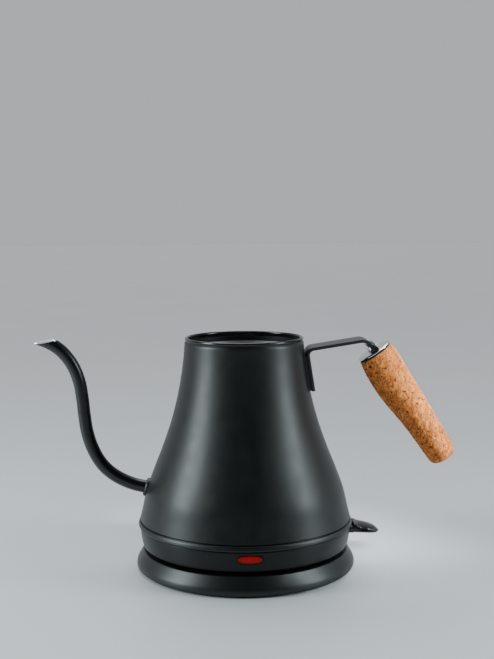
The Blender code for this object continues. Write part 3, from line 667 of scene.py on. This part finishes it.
def tube_rings(route, radius, facets=SMALL):
    """Rings round a route that lies in the XZ plane."""
    across = Vector((0, 1, 0))
    rings = []
    for i, point in enumerate(route):
        ahead = heading(route, i)
        up = Vector((ahead.x, 0, ahead.y)).cross(across)
        centre = Vector((point.x, 0, point.y))
        rings.append([centre + radius * (cos(a) * up + sin(a) * across) for a in turns(facets)])
    return rings


def cut_mouth(bm):
    """Cuts a tube off at the slanted mouth, and returns the vertices and edges along the cut."""
    parts = bm.verts[:] + bm.edges[:] + bm.faces[:]
    cut = bmesh.ops.bisect_plane(bm, geom=parts, plane_co=MOUTH_LIP, plane_no=MOUTH_NORMAL, clear_outer=True)
    return cut["geom_cut"]


def pipe(route, outer, inner):
    """A tube, cut off at the slanted mouth, with a rounded lip."""
    bm = bmesh.new()
    walls = [add_rings(bm, tube_rings(route, radius)) for radius in (outer, inner)]
    bridge(bm, walls[0][0], walls[1][0])
    bmesh.ops.recalc_face_normals(bm, faces=bm.faces)
    edges = [item for item in cut_mouth(bm) if isinstance(item, bmesh.types.BMEdge)]
    bmesh.ops.bridge_loops(bm, edges=edges)
    bmesh.ops.bevel(bm, geom=edges, offset=SPOUT_LIP_ROUND, segments=3, profile=0.5, affect="EDGES")
    return bm


def build_mouth_lip(route):
    """Ground steel edge round the slanted mouth, proud of the tube by a hair."""
    bm = bmesh.new()
    add_rings(bm, tube_rings(route, SPOUT_OUTER - SPOUT_WALL / 2, MEDIUM))
    path = [item.co.copy() for item in cut_mouth(bm) if isinstance(item, bmesh.types.BMVert)]
    bm.free()
    centre = sum(path, Vector()) / len(path)
    path.sort(key=lambda point: atan2(point.y - centre.y, point.x - centre.x))
    section = arc((0, 0), LIP_ROUND, 0, 330, 12)
    rings = []
    for i, point in enumerate(path):
        along = (path[(i + 1) % len(path)] - path[i - 1]).normalized()
        outward = along.cross(MOUTH_NORMAL).normalized()
        rings.append([point + x * outward + y * MOUTH_NORMAL for x, y in section])
    add_piece("spout_lip", wound(rings), "spout_tube", "polished_steel", "brushed_steel")


def build_collar():
    """Ring whose foot follows the shell, built up along the spout's own axis."""
    axis = Vector((-sin(COLLAR_LEAN), 0, cos(COLLAR_LEAN)))
    upward = Vector((cos(COLLAR_LEAN), 0, sin(COLLAR_LEAN)))
    centre = Vector((-shell_radius(COLLAR_HEIGHT), 0, COLLAR_HEIGHT))
    tight = SPOUT_OUTER + 0.06
    rim = COLLAR_RADIUS
    section = [(tight, -0.6, 0), (rim + 0.1, -0.6, 0), (rim, 0.25, 0.3), (rim - 0.1, 1.0, 0.5)]
    section += [(rim - 0.7, COLLAR_RISE, 0.45), (tight, COLLAR_RISE, 0.15)]
    rings = []
    for radius, rise in softened(section):
        ring = []
        for angle in turns(MEDIUM):
            spot = centre + radius * (cos(angle) * upward + sin(angle) * Vector((0, 1, 0)))
            surface = -sqrt(shell_radius(spot.z) ** 2 - spot.y**2)
            ring.append(Vector((surface, spot.y, spot.z)) + rise * axis)
        rings.append(ring)
    add_piece("spout_collar_ring", wound(rings), "spout_collar")


def build_spout():
    """Outer spout, its bare steel bore, the edge of its mouth and the collar round its root."""
    route = smooth_curve(SPOUT_ROUTE, SPOUT_STATIONS)
    parting = SPOUT_OUTER - SPOUT_SKIN
    build_mouth_lip(route)
    add_piece("spout_outer", pipe(route, SPOUT_OUTER, parting), "spout_tube", "spout_coat")
    bore = pipe(route, parting - SKIN_GAP, SPOUT_OUTER - SPOUT_WALL)
    add_piece("spout_bore", bore, "spout_tube", slot="brushed_steel")
    build_collar()


# ---- kettle: handle


def grip_point(distance):
    """World XZ of a point down the grip's axis."""
    return Vector(GRIP_TOP) + distance * Vector((sin(GRIP_LEAN), -cos(GRIP_LEAN)))


# From the grip's own axes, with local +Z down the grip, to the frame
GRIP_PLACE = Matrix.Translation((GRIP_TOP[0], 0, GRIP_TOP[1])) @ Matrix.Rotation(pi - GRIP_LEAN, 4, "Y")


def build_strap():
    """Bent strip from the shell to the grip, with rounded long edges, and its weld saddle."""
    foot, corner = Vector(STRAP_FOOT), Vector(STRAP_CORNER)
    run_end, neck = grip_point(NECK_START), grip_point(NECK_END)
    route = [foot.lerp(corner, share) for share in (0, 0.012, 0.3, 0.6)]
    route += fillet(corner, foot, run_end, STRAP_BEND, 22)
    route += fillet(run_end, corner, neck, STRAP_NECK_BEND, 26)
    rings = []
    for i, point in enumerate(route):
        along = heading(route, i)
        inset = 0.3 if i == 0 else 0.0
        outline = rounded_rectangle(STRAP_WIDTH - inset, STRAP_THICKNESS - inset, STRAP_EDGE)
        rings.append([(point.x - up * along.y, across, point.y + up * along.x) for across, up in outline])
    add_piece("handle_strap", loft(rings), "handle_bracket")

    # Weld metal between the leg's flat back and the round shell
    rise = (corner - foot).normalized()
    back = Vector((-rise.y, rise.x)) * STRAP_THICKNESS / 2
    half = STRAP_WIDTH / 2 - 0.9
    sides = [-half + 2 * half * k / 24 for k in range(25)]
    rings = []
    for share in [0.02 + 0.8 * k / 20 for k in range(21)]:
        spot = foot.lerp(corner, share) + back * 0.8
        outer = [(spot.x, y, spot.y) for y in sides]
        inner = [(sqrt((shell_radius(spot.y) - 0.1) ** 2 - y * y), y, spot.y) for y in reversed(sides)]
        rings.append(outer + inner)
    add_piece("strap_weld", loft(rings), "handle_bracket")


def grip_block(sections, middle=0.0):
    """bmesh of a bar across the grip's top, through sections of (depth, outline)."""
    return loft([[GRIP_PLACE @ Vector((middle + up, across, depth)) for across, up in outline]
                 for depth, outline in sections])


def build_ferrule():
    """Dark collar round the strap's end, with a bright plate along each flat side."""
    half_wide = high("handle_ferrule").y
    top, waist = FERRULE_TOP, FERRULE_WAIST
    levels = [(top + 0.9, 1.1), (waist, 1.1), (waist + 0.1, 0.5), (waist + 0.5, 0.1)]
    levels += [(-1.0, 0.0), (-0.5, 0.05), (-0.3, 0.2)]
    sections = [(depth, rounded_rectangle(2 * half_wide - 0.3, 2 * (FERRULE_HALF_DEPTH - inset), 0.8))
                for depth, inset in levels]
    add_piece("grip_ferrule", grip_block(sections), "handle_ferrule", "spout_coat", "black_coating")

    levels = [(waist + 0.3, 0), (top + 0.35, 0), (top + 0.1, 0.1), (top, 0.3)]
    sections = [(depth, rounded_rectangle(2 * (half_wide - inset), FERRULE_PLATE - 2 * inset, 0.5 - inset, 8))
                for depth, inset in levels]
    for name, side in (("upper", 1), ("lower", -1)):
        plate = grip_block(sections, side * (FERRULE_HALF_DEPTH - FERRULE_PLATE / 2))
        add_piece(f"ferrule_plate_{name}", plate, "handle_ferrule")


def cork_pit(spot):
    """How deep the cork's surface lies below its smooth form: soft unevenness and open pores."""
    uneven = 0.05 * noise.noise(spot * 0.45)
    pore = noise.noise(spot * 0.62 + Vector((31, 7, 11)))
    deep = 0.55 * min(max((pore - 0.42) / 0.12, 0.0), 1.0)
    speck = noise.noise(spot * 1.25 + Vector((3, 57, 19)))
    return uneven + deep + 0.22 * min(max((speck - 0.38) / 0.1, 0.0), 1.0) + 0.06


def cork_rings():
    """Rings of the cork sleeve: down its bellied outside, round its end, and back up its bore."""
    start = CORK_OUTLINE[0][0]
    body = smooth_curve(CORK_OUTLINE, CORK_RINGS)
    lower_edge = (GRIP_LENGTH - CORK_END_ROUND, body[-1][1] - CORK_END_ROUND)
    body += arc(lower_edge, CORK_END_ROUND, 90, 0, 14)[1:]
    body += [(GRIP_LENGTH, POCKET_RADIUS + 0.5), (GRIP_LENGTH, POCKET_RADIUS)]
    body += [(CORK_POCKET, POCKET_RADIUS), (CORK_POCKET, BORE_RADIUS)]
    body += [(start, radius) for radius in (BORE_RADIUS, 7.0, 11.6)]
    rings = []
    for distance, radius in body:
        bulge = exp(-(((distance - CORK_SWELL_AT) / CORK_SWELL_SPREAD) ** 2))
        shift = CORK_SWELL * bulge if radius > POCKET_RADIUS + 0.6 else 0.0
        pitted = radius > 9.0 and 3.2 < distance < GRIP_LENGTH - 0.4
        ring = []
        for angle in turns(CORK_FACETS):
            spoke = Vector((cos(angle), sin(angle), 0))
            spot = Vector((shift, 0, distance)) + radius * spoke
            ring.append(spot - cork_pit(spot) * spoke if pitted else spot)
        rings.append(ring)
    return rings


def build_grip():
    """Polished cap plate, gasket, the cork sleeve and the plug in its end."""
    cap = [(BORE_RADIUS, 0.10), (BORE_RADIUS + 3, 0.02), (8.6, 0.16), (10.8, 0.42), (11.9, 0.72)]
    cap += [(CAP_RADIUS, 1.0), (CAP_RADIUS, 1.3), (CAP_RADIUS - 0.15, 1.4), (BORE_RADIUS, 1.4)]
    add_piece("grip_cap", lathe(cap, LARGE, GRIP_PLACE), "grip_cap_plate")
    rim = CAP_RADIUS - 0.45
    gasket = softened([(BORE_RADIUS, 1.45), (rim, 1.45), (rim, 2.75), (BORE_RADIUS, 2.75)])
    add_piece("grip_gasket_ring", lathe(gasket, MEDIUM, GRIP_PLACE), "grip_gasket")
    add_piece("cork_sleeve", wound(cork_rings(), GRIP_PLACE), "cork_grip")
    end = GRIP_LENGTH - 0.05
    plug = softened([(0, 86.9), (5.75, 86.9), (5.75, end, 0.4), (0, end)])
    add_piece("cork_end_plug", lathe(plug, MEDIUM, GRIP_PLACE), "grip_end_plug")


# ---- kettle: lower housing


def build_band():
    """Housing band with its bead, the lens window and the lever's slot."""
    face = ((70.6, 17.1), (71.0, 18.4), (71.4, 20.6), (71.9, 23.4), (72.3, 26.6), (72.42, 28.6))
    corners = [(67.0, 15.7, 0.2), (69.0, 15.7, 0.3), (70.1, 16.1, 0.5), *sharp(smooth_curve(face, 26))]
    corners += [(72.3, 29.0, 0.2), (71.9, 29.25, 0.1), (71.9, 32.6, 0.1), (71.6, BAND_TOP, 0.1)]
    corners += [(69.7, BAND_TOP, 0.2), (69.9, 29.0), (69.4, 22.0), (68.6, 18.6), (67.0, 17.4)]
    reach, half = (LENS_LENGTH - LENS_HEIGHT) / 2, LENS_HEIGHT / 2 + WINDOW_GAP
    window = arc((reach, LENS_CENTRE_Z), half, -90, 90, 24) + arc((-reach, LENS_CENTRE_Z), half, 90, 270, 24)
    openings = (prism(window, -80, -60), box_between(SLOT_LOW, SLOT_HIGH))
    add_piece("foot_band", lathe(softened(corners)), "housing_band", cut=openings)
    bead = [(71.8, 29.5), (73.1, 29.5, 0.5), (73.62, 30.4, 0.5), (73.3, 31.7, 1.5), (72.75, 33.0, 0.45),
            (71.8, 33.05)]
    add_piece("band_bead", lathe(softened(bead, 6)), "housing_band", "black_coating")

    # Screw bosses inside the band, hidden until the bottom cover comes off
    for i, spot in enumerate(KETTLE_SCREWS, 1):
        sleeve = softened([(BOSS_BORE, 17.4), (3.9, 17.4), (3.9, 28.8), (BOSS_BORE, 28.8)])
        web = box_between((3.2, -1.1, 18.0), (8.1, 1.1, 28.4))
        outwards = stand_at(spot) @ Matrix.Rotation(atan2(spot[1], spot[0]), 4, "Z")
        bmesh.ops.transform(web, matrix=outwards, verts=web.verts)
        boss = lathe(sleeve, SMALL, stand_at(spot))
        add_piece(f"band_boss_{i}", boss, "housing_band", join=[web])


def build_lens():
    """Window that follows the band's curve, its edge rounded over."""
    half, reach = LENS_HEIGHT / 2, (LENS_LENGTH - LENS_HEIGHT) / 2
    runs = 20
    outline = []
    for side in (1, -1):
        outline += [(side * reach, side * x, side * z) for x, z in arc((0, 0), 1.0, -90, 90, 40)]
        outline += [(side * reach * (1 - 2 * step / runs), 0.0, side) for step in range(1, runs)]
    face = LENS_RADIUS
    levels = [(half, face - LENS_DEPTH)]
    levels += arc((half - LENS_EDGE, face - LENS_EDGE), LENS_EDGE, 0, 90, 7)
    levels += [(half - LENS_EDGE - 0.6, face + 0.02), (0.9, face + 0.06), (0.0, face + 0.08)]
    rings = []
    for spread, radius in levels:
        ring = [(centre + spread * along, LENS_CENTRE_Z + spread * up) for centre, along, up in outline]
        rings.append([(x, -sqrt(radius**2 - x * x), z) for x, z in ring])
    bm = bmesh.new()
    made = add_rings(bm, rings)
    bm.faces.new(made[0])
    bmesh.ops.remove_doubles(bm, verts=bm.verts, dist=0.001)
    add_piece("indicator_window", bm, "indicator_lens")


def lever_stations():
    """(x, half width, underside, top, crown) from the finger inside to the paddle's tip."""
    stations = []
    for before, after in zip(LEVER_STEM, LEVER_STEM[1:]):
        for share in (0.0, 0.34, 0.67):
            stations.append([a + share * (b - a) for a, b in zip(before, after)] + [0.0])
    stations.append([*LEVER_STEM[-1], 0.0])
    top, under = smooth_curve(PADDLE_TOP, 60), smooth_curve(PADDLE_UNDER, 60)
    stem_end, stem_half, stem_under, stem_top = LEVER_STEM[-1]
    for share in (0.15, 0.3, 0.5, 0.7, 0.85, 1.0):
        x = stem_end + 0.2 + share * 1.5
        rise = sin(share * pi / 2) ** 0.8
        upper = stem_top + (PADDLE_TOP[0][1] - stem_top) * rise
        stations.append([x, stem_half + 0.2 * rise, stem_under + 0.3 * rise, upper, 0.0])
    for k in range(1, 9):
        x = PADDLE_ROOT + (PADDLE_FLANK - PADDLE_ROOT) * k / 8
        crown = PADDLE_CROWN * sin(pi / 2 * k / 8) ** 2
        stations.append([x, PADDLE_HALF, value_on(under, x), value_on(top, x), crown])
    for k in range(1, 30):
        u = sin(pi / 2 * k / 30)
        x = PADDLE_FLANK + (PADDLE_TIP - PADDLE_FLANK) * u
        upper, lower = value_on(top, x), value_on(under, x)
        middle, thick = (upper + lower) / 2, (upper - lower) / 2 * (1 - u**9) ** 0.5
        half = PADDLE_HALF * (1 - u**2.6) ** (1 / 2.6)
        stations.append([x, half, middle - thick, middle + thick, PADDLE_CROWN])
    return stations


def build_lever():
    """Rocker of the switch: a rounded bar inside the band, and the paddle outside it."""
    stem_end = LEVER_STEM[-1][0]
    rings = []
    for x, half, lower, upper, crown in lever_stations():
        middle, thick = (upper + lower) / 2, (upper - lower) / 2
        power = 2 / (5.0 if x < stem_end else 7.0)
        ring = []
        for angle in turns(LEVER_FACETS):
            y = half * copysign(abs(cos(angle)) ** power, cos(angle))
            z = middle + thick * copysign(abs(sin(angle)) ** power, sin(angle))
            if x > stem_end:
                y *= 1 - PADDLE_DRAFT * (z - lower) / (2 * PADDLE_HALF)
            ring.append((x, y, lower + (z - lower) * (1 - crown * (y / half) ** 2)))
        rings.append(ring)
    across = Matrix.Translation((PIVOT[0], 0, PIVOT[1])) @ Matrix.Rotation(pi / 2, 4, "X")
    bore = rod(PIVOT_BORE, -20, 20, across)
    add_piece("lever_paddle", loft(rings), "switch_lever", cut=[bore])


# ---- round parts


def screw_profile(radius, bottom, shoulder, end, shank=1.35):
    """Pan head, driven upwards, with a thread of shallow grooves."""
    points = [(0, bottom), (radius - 0.7, bottom), (radius - 0.2, bottom + 0.25), (radius, bottom + 0.6)]
    points += [(radius, shoulder), (shank, shoulder)]
    height = shoulder + 0.4
    while height < end - 1.4:
        points += [(shank, height), (shank - 0.3, height + 0.25), (shank, height + 0.5)]
        height += 0.6
    return points + [(0.6, end), (0, end)]


def cross_recess(spot, bottom, depth, reach=1.7, half=0.31):
    """Two crossed blocks for a driver's cross."""
    return [box_between((spot[0] - x, spot[1] - y, bottom - 1), (spot[0] + x, spot[1] + y, bottom + depth))
            for x, y in ((reach, half), (half, reach))]


def counterbore(spot, head, bottom, step, top):
    """Hole for a screw: wide up to the step for its head, and narrow above."""
    profile = [(0, bottom), (head, bottom), (head, step), (BOSS_BORE, step), (BOSS_BORE, top), (0, top)]
    return lathe(profile, SMALL, stand_at(spot))


def build_screws():
    """Cross-headed screws: three under the base and three under the kettle."""
    kinds = (("base_screw", "base_screw_head", BASE_SCREWS, 2.8, 2.3, 0.75),
             ("cover_screw", "foot_screw_head", KETTLE_SCREWS, 2.7, 15.1, 0.6))
    for node, name, spots, radius, shoulder, recess in kinds:
        for i, spot in enumerate(spots, 1):
            bottom, end = low(f"{node}_{i}").z, high(f"{node}_{i}").z
            screw = lathe(screw_profile(radius, bottom, shoulder, end), SMALL, stand_at(spot))
            add_piece(f"{name}_{i}", screw, f"{node}_{i}", cut=cross_recess(spot, bottom, recess))


def build_base():
    """Power base: flared top with its deck, bottom cover, feet and cord outlet."""
    radius, top = high("base_top").x, high("base_top").z
    deck = top - 1.5
    flare = ((1.5, 0.95), (0.55, 1.6), (0.0, 3.0), (0.3, 5.4), (1.6, 8.0), (3.4, 10.8), (4.3, 12.15))
    skirt = smooth_curve([(radius - inset, z) for inset, z in flare], 44)
    corners = [*sharp(skirt), (radius - 4.9, top, 0.6), (66.6, top, 0.3), (66.0, deck, 0.4)]
    drain = [(63.0, deck, 0.2), (62.4, deck - 0.5, 0.2), (60.2, deck - 0.5, 0.2), (59.6, deck, 0.2)]
    inner = [(23.4, deck, 0.2), (23.0, deck + 0.25, 0.15), (22.0, deck + 0.25, 0.15), (21.6, deck, 0.2)]
    inner += [(17.3, deck, 0.2), (17.3, deck - 2.0, 0.2), (66.4, deck - 2.0, 0.2)]
    under = [(68.3, 10.6, 0.2), (69.6, 10.2, 0.2), (71.6, 7.4, 0.2), (72.8, 4.2, 0.2), (72.8, 0.95, 0.2)]
    outlet, outlet_top = low("cord_gland"), high("cord_gland")
    gland = (outlet_top.x - outlet.x) / 2
    backwards = Matrix.Translation((0, 0, (outlet.z + outlet_top.z) / 2))
    backwards = backwards @ Matrix.Rotation(-pi / 2, 4, "X")
    notches = [rod(gland + 0.3, 65, 80, backwards) for _ in range(2)]
    body = lathe(softened(corners + drain + inner + under))
    add_piece("base_body", body, "base_top", "base_plastic", cut=notches[:1])
    for i, spot in enumerate(BASE_SCREWS, 1):
        tube = softened([(BOSS_BORE, 4.1), (3.8, 4.1), (3.8, deck - 1.9), (BOSS_BORE, deck - 1.9)])
        add_piece(f"base_screw_boss_{i}", lathe(tube, SMALL, stand_at(spot)), "base_top")

    cover_low, cover_high = low("base_bottom_cover"), high("base_bottom_cover")
    face, recess = cover_low.z, cover_low.z + 0.5
    plate = [(0, recess), (8, recess, 0.2), (8.5, face, 0.2)]
    for groove in (26, 50, 68.5):
        plate += [(groove, face, 0.15), (groove + 0.3, recess, 0.15)]
        plate += [(groove + 1.1, recess, 0.15), (groove + 1.4, face, 0.15)]
    plate += [(cover_high.x, face, 0.4), (cover_high.x, cover_high.z, 0.2), (0, cover_high.z)]
    holes = [*notches[1:], *(counterbore(spot, 3.2, 0.5, 2.6, 5) for spot in BASE_SCREWS)]
    holes.append(box_between((-17, -46, 0), (17, -30, face + 0.3)))  # a shallow blank panel
    add_piece("base_cover", lathe(softened(plate)), "base_bottom_cover", cut=holes)

    foot = softened([(0, 0.25), (2.0, 0.25, 0.1), (2.3, 0, 0.1), (4.7, 0, 0.3), (5.0, 0.5, 0.2),
                     (5.0, 1.15, 0), (0, 1.15)])
    for i, spot in enumerate(FEET, 1):
        add_piece(f"rubber_foot_{i}", lathe(foot, SMALL, stand_at(spot)), f"base_foot_{i}")

    boot = [(3.2, 66.0), (gland, 66.0)]
    for start in (69.2, 71.1, 73.0):
        boot += [(gland, start, 0.2), (gland - 0.5, start + 0.25, 0.15)]
        boot += [(gland - 0.5, start + 0.95, 0.15), (gland, start + 1.2, 0.2)]
    boot += [(gland - 0.3, outlet_top.y, 0.5), (3.2, outlet_top.y, 0.3)]
    add_piece("cord_outlet", lathe(softened(boot), SMALL, backwards), "cord_gland")


def build_connector():
    """Post with its contacts on the base, the loose ring round it and the socket under the kettle."""
    rim, top = 16.9, high("base_connector_post").z
    post = [(0, 4.1), (15, 4.1), (15, 7.2), (22, 7.2), (22, 9.2), (rim, 9.2), (rim, top - 0.2, 1.0)]
    post += [(11.4, top, 0.4), (11.4, 14.5, 0.2), (8.6, 14.5, 0.2), (8.6, top, 0.4), (3.4, top, 0.6)]
    post += [(3.4, 12.0, 0.2), (0, 12.0)]
    collar = [(17.35, 11.8), (19.8, 11.8, 0.2), (19.8, 12.6, 0.2), (19.3, 13.2, 0.4), (17.9, 13.2, 0.4)]
    collar += [(17.35, 12.7, 0.2)]
    socket = [(17.5, 13.5, 0.5), (20.5, 13.5, 0.4), (20.5, 16.5), (24, 16.5), (24, 18.2), (20.5, 18.2)]
    socket += [(20.5, 25.6), (0, 25.6), (0, 23.3), (17.5, 23.3)]
    turned = (
        ("post_body", "base_connector_post", post),
        ("post_outer_contact", "base_contact_ring",
         [(10.4, 14.8), (11.1, 14.8), (11.1, 21.2, 0.3), (10.4, 21.2, 0.3)]),
        ("post_inner_contact", "base_contact_sleeve",
         [(2.2, 12.3), (3.1, 12.3), (3.1, 21.6, 0.4), (2.2, 21.6, 0.4)]),
        ("swivel_collar", "swivel_ring", collar),
        ("socket_body", "connector_socket", socket),
        ("socket_blade", "socket_blade_ring",
         [(9.05, 15.4, 0.3), (9.95, 15.4, 0.3), (9.95, 23.0), (9.05, 23.0)]),
        ("socket_centre_pin", "socket_pin", [(0, 13.4), (1.8, 13.4, 0.9), (1.8, 23.0), (0, 23.0)]),
    )
    for name, node, corners in turned:
        add_piece(name, lathe(softened(corners), MEDIUM), node)


def build_underside():
    """Bottom cover of the kettle with its foot ring and ribs, round the socket."""
    bottom, top = low("kettle_bottom_cover").z, high("kettle_bottom_cover").z
    plate = bottom + 2.4
    corners = [(21.0, plate), (24.8, plate), (25.2, plate - 0.5, 0.2), (26.4, plate - 0.5, 0.2)]
    corners += [(26.8, plate), (52.5, plate), (52.9, bottom, 0.5), (56.1, bottom, 0.5)]
    corners += [(56.5, plate), (66.0, plate, 0.3), (66.7, 14.9, 0.3), (66.7, top), (21.0, top)]
    holes = [counterbore(spot, 3.1, 13.5, 15.4, 17) for spot in KETTLE_SCREWS]
    add_piece("foot_cover", lathe(softened(corners)), "kettle_bottom_cover", cut=holes)


def build_pot_fittings():
    """Heater plate with its lip and the steam tube that stands in it."""
    base, lip, rim = low("heater_plate").z, high("heater_plate").z, high("heater_plate").x
    floor = base + 1
    corners = [(0, base), (70.7, base, 0.5), (rim - 0.2, lip, 0.2), (rim - 1.0, lip, 0.2)]
    corners += [(69.4, floor, 1.2), (48.5, floor, 0.6), (47.2, floor + 0.45, 0.5), (40.8, floor + 0.45, 0.5)]
    corners += [(39.5, floor, 0.6), (0, floor)]
    foot, top = low("steam_tube"), high("steam_tube")
    steam = stand_at(((foot.x + top.x) / 2, 0))
    hole = rod(4.4, 30, 40, steam)
    add_piece("pot_floor", lathe(softened(corners)), "heater_plate", "plate_steel", cut=[hole])

    tube = [(3.3, foot.z), (4.0, foot.z), (4.0, 36.4, 0.2), (5.2, 36.4, 0.3), (5.2, 37.4, 0.5)]
    tube += [(4.0, 37.8, 0.3), (4.0, top.z - 1.6, 0.3), (4.25, top.z - 1.0, 0.4)]
    tube += [(4.25, top.z - 0.3, 0.4), (3.9, top.z, 0.3), (3.3, top.z, 0.3)]
    add_piece("steam_pipe", lathe(softened(tube), MEDIUM, steam), "steam_tube", "tube_steel")


def finish_kept_nodes():
    """Looks of the CAD nodes that no piece replaces: the parts inside the housing and the grip."""
    for node in sorted(set(SLOT_OF) - replaced):
        mesh = frame["nodes"][node].data
        mesh.materials.clear()
        mesh.materials.append(LOOKS[SLOT_OF[node]])


# ---- stage and light


def place_in_scene(name, data, location=(0, 0, 0)):
    item = bpy.data.objects.new(name, data)
    item.location = location
    bpy.context.scene.collection.objects.link(item)
    return item


def build_camera():
    data = bpy.data.cameras.new("camera")
    data.sensor_width = SENSOR
    data.lens = LENS
    data.clip_start = 0.01
    data.clip_end = 50
    camera = place_in_scene("camera", data, Vector(CAMERA_AT) * MM)
    aim = Matrix.Rotation(radians(-CAMERA_TURN), 4, "Z")
    aim = aim @ Matrix.Rotation(radians(90 - CAMERA_PITCH), 4, "X")
    aim = aim @ Matrix.Rotation(radians(CAMERA_ROLL), 4, "Z")
    camera.rotation_euler = aim.to_euler()
    bpy.context.scene.camera = camera


def add_softbox(name, azimuth, elevation, distance, size, power, spread=180, aim=(0, 0, 0.08)):
    """Area light turned to a point. Azimuth 0 is over the camera and 90 is on the right."""
    data = bpy.data.lights.new(name, "AREA")
    data.shape = "RECTANGLE"
    data.size, data.size_y = size
    data.energy = power
    data.spread = radians(spread)
    data.color = (0.87, 0.985, 1.0)
    a, e = radians(azimuth), radians(elevation)
    away = Vector((sin(a) * cos(e), -cos(a) * cos(e), sin(e)))
    light = place_in_scene(name, data, Vector(aim) + distance * away)
    light.rotation_euler = away.to_track_quat("Z", "Y").to_euler()


def build_lights():
    add_softbox("strip_left", -77, 21, 0.85, (0.28, 0.52), 6.7)
    add_softbox("strip_right", 72, 21, 0.85, (0.25, 0.52), 4.5)
    add_softbox("grip_light", 58, 48, 0.75, (0.10, 0.12), 0.12, spread=12, aim=(0.122, 0, 0.108))
    data = bpy.data.lights.new("overhead", "SUN")
    data.energy = 2.0
    data.angle = radians(50)
    overhead = place_in_scene("overhead", data)
    overhead.rotation_euler = (radians(-24), radians(-6), 0)


def build_surroundings():
    """Pale floor, and a studio that is pale behind the kettle and dim on the camera's side."""
    world = bpy.data.worlds.new("studio")
    world.use_nodes = True
    sky = Nodes(world.node_tree)
    direction = sky.add("TexCoord", {}).outputs["Generated"]
    depth = sky.add("SeparateXYZ", {"Vector": direction}).outputs["Y"]
    tone = sky.ramp(sky.spread(depth, 0.0, 1.0, -0.5, 0.75), (0.0, (0.030, 0.034, 0.037)),
                    (0.45, (0.10, 0.112, 0.12)), (1.0, (0.49, 0.512, 0.53)))
    sky.tree.links.new(tone, sky.tree.nodes["Background"].inputs["Color"])
    bpy.context.scene.world = world

    bm = bmesh.new()
    bmesh.ops.create_grid(bm, x_segments=8, y_segments=8, size=9000)
    floor = make_object("studio_floor", bm)
    floor.data.materials.append(LOOKS["floor"])


build_camera()
build_surroundings()
build_lights()
build_shell()
build_spout()
build_strap()
build_ferrule()
build_grip()
build_band()
build_lens()
build_lever()
build_base()
build_connector()
build_underside()
build_pot_fittings()
build_screws()
finish_kept_nodes()
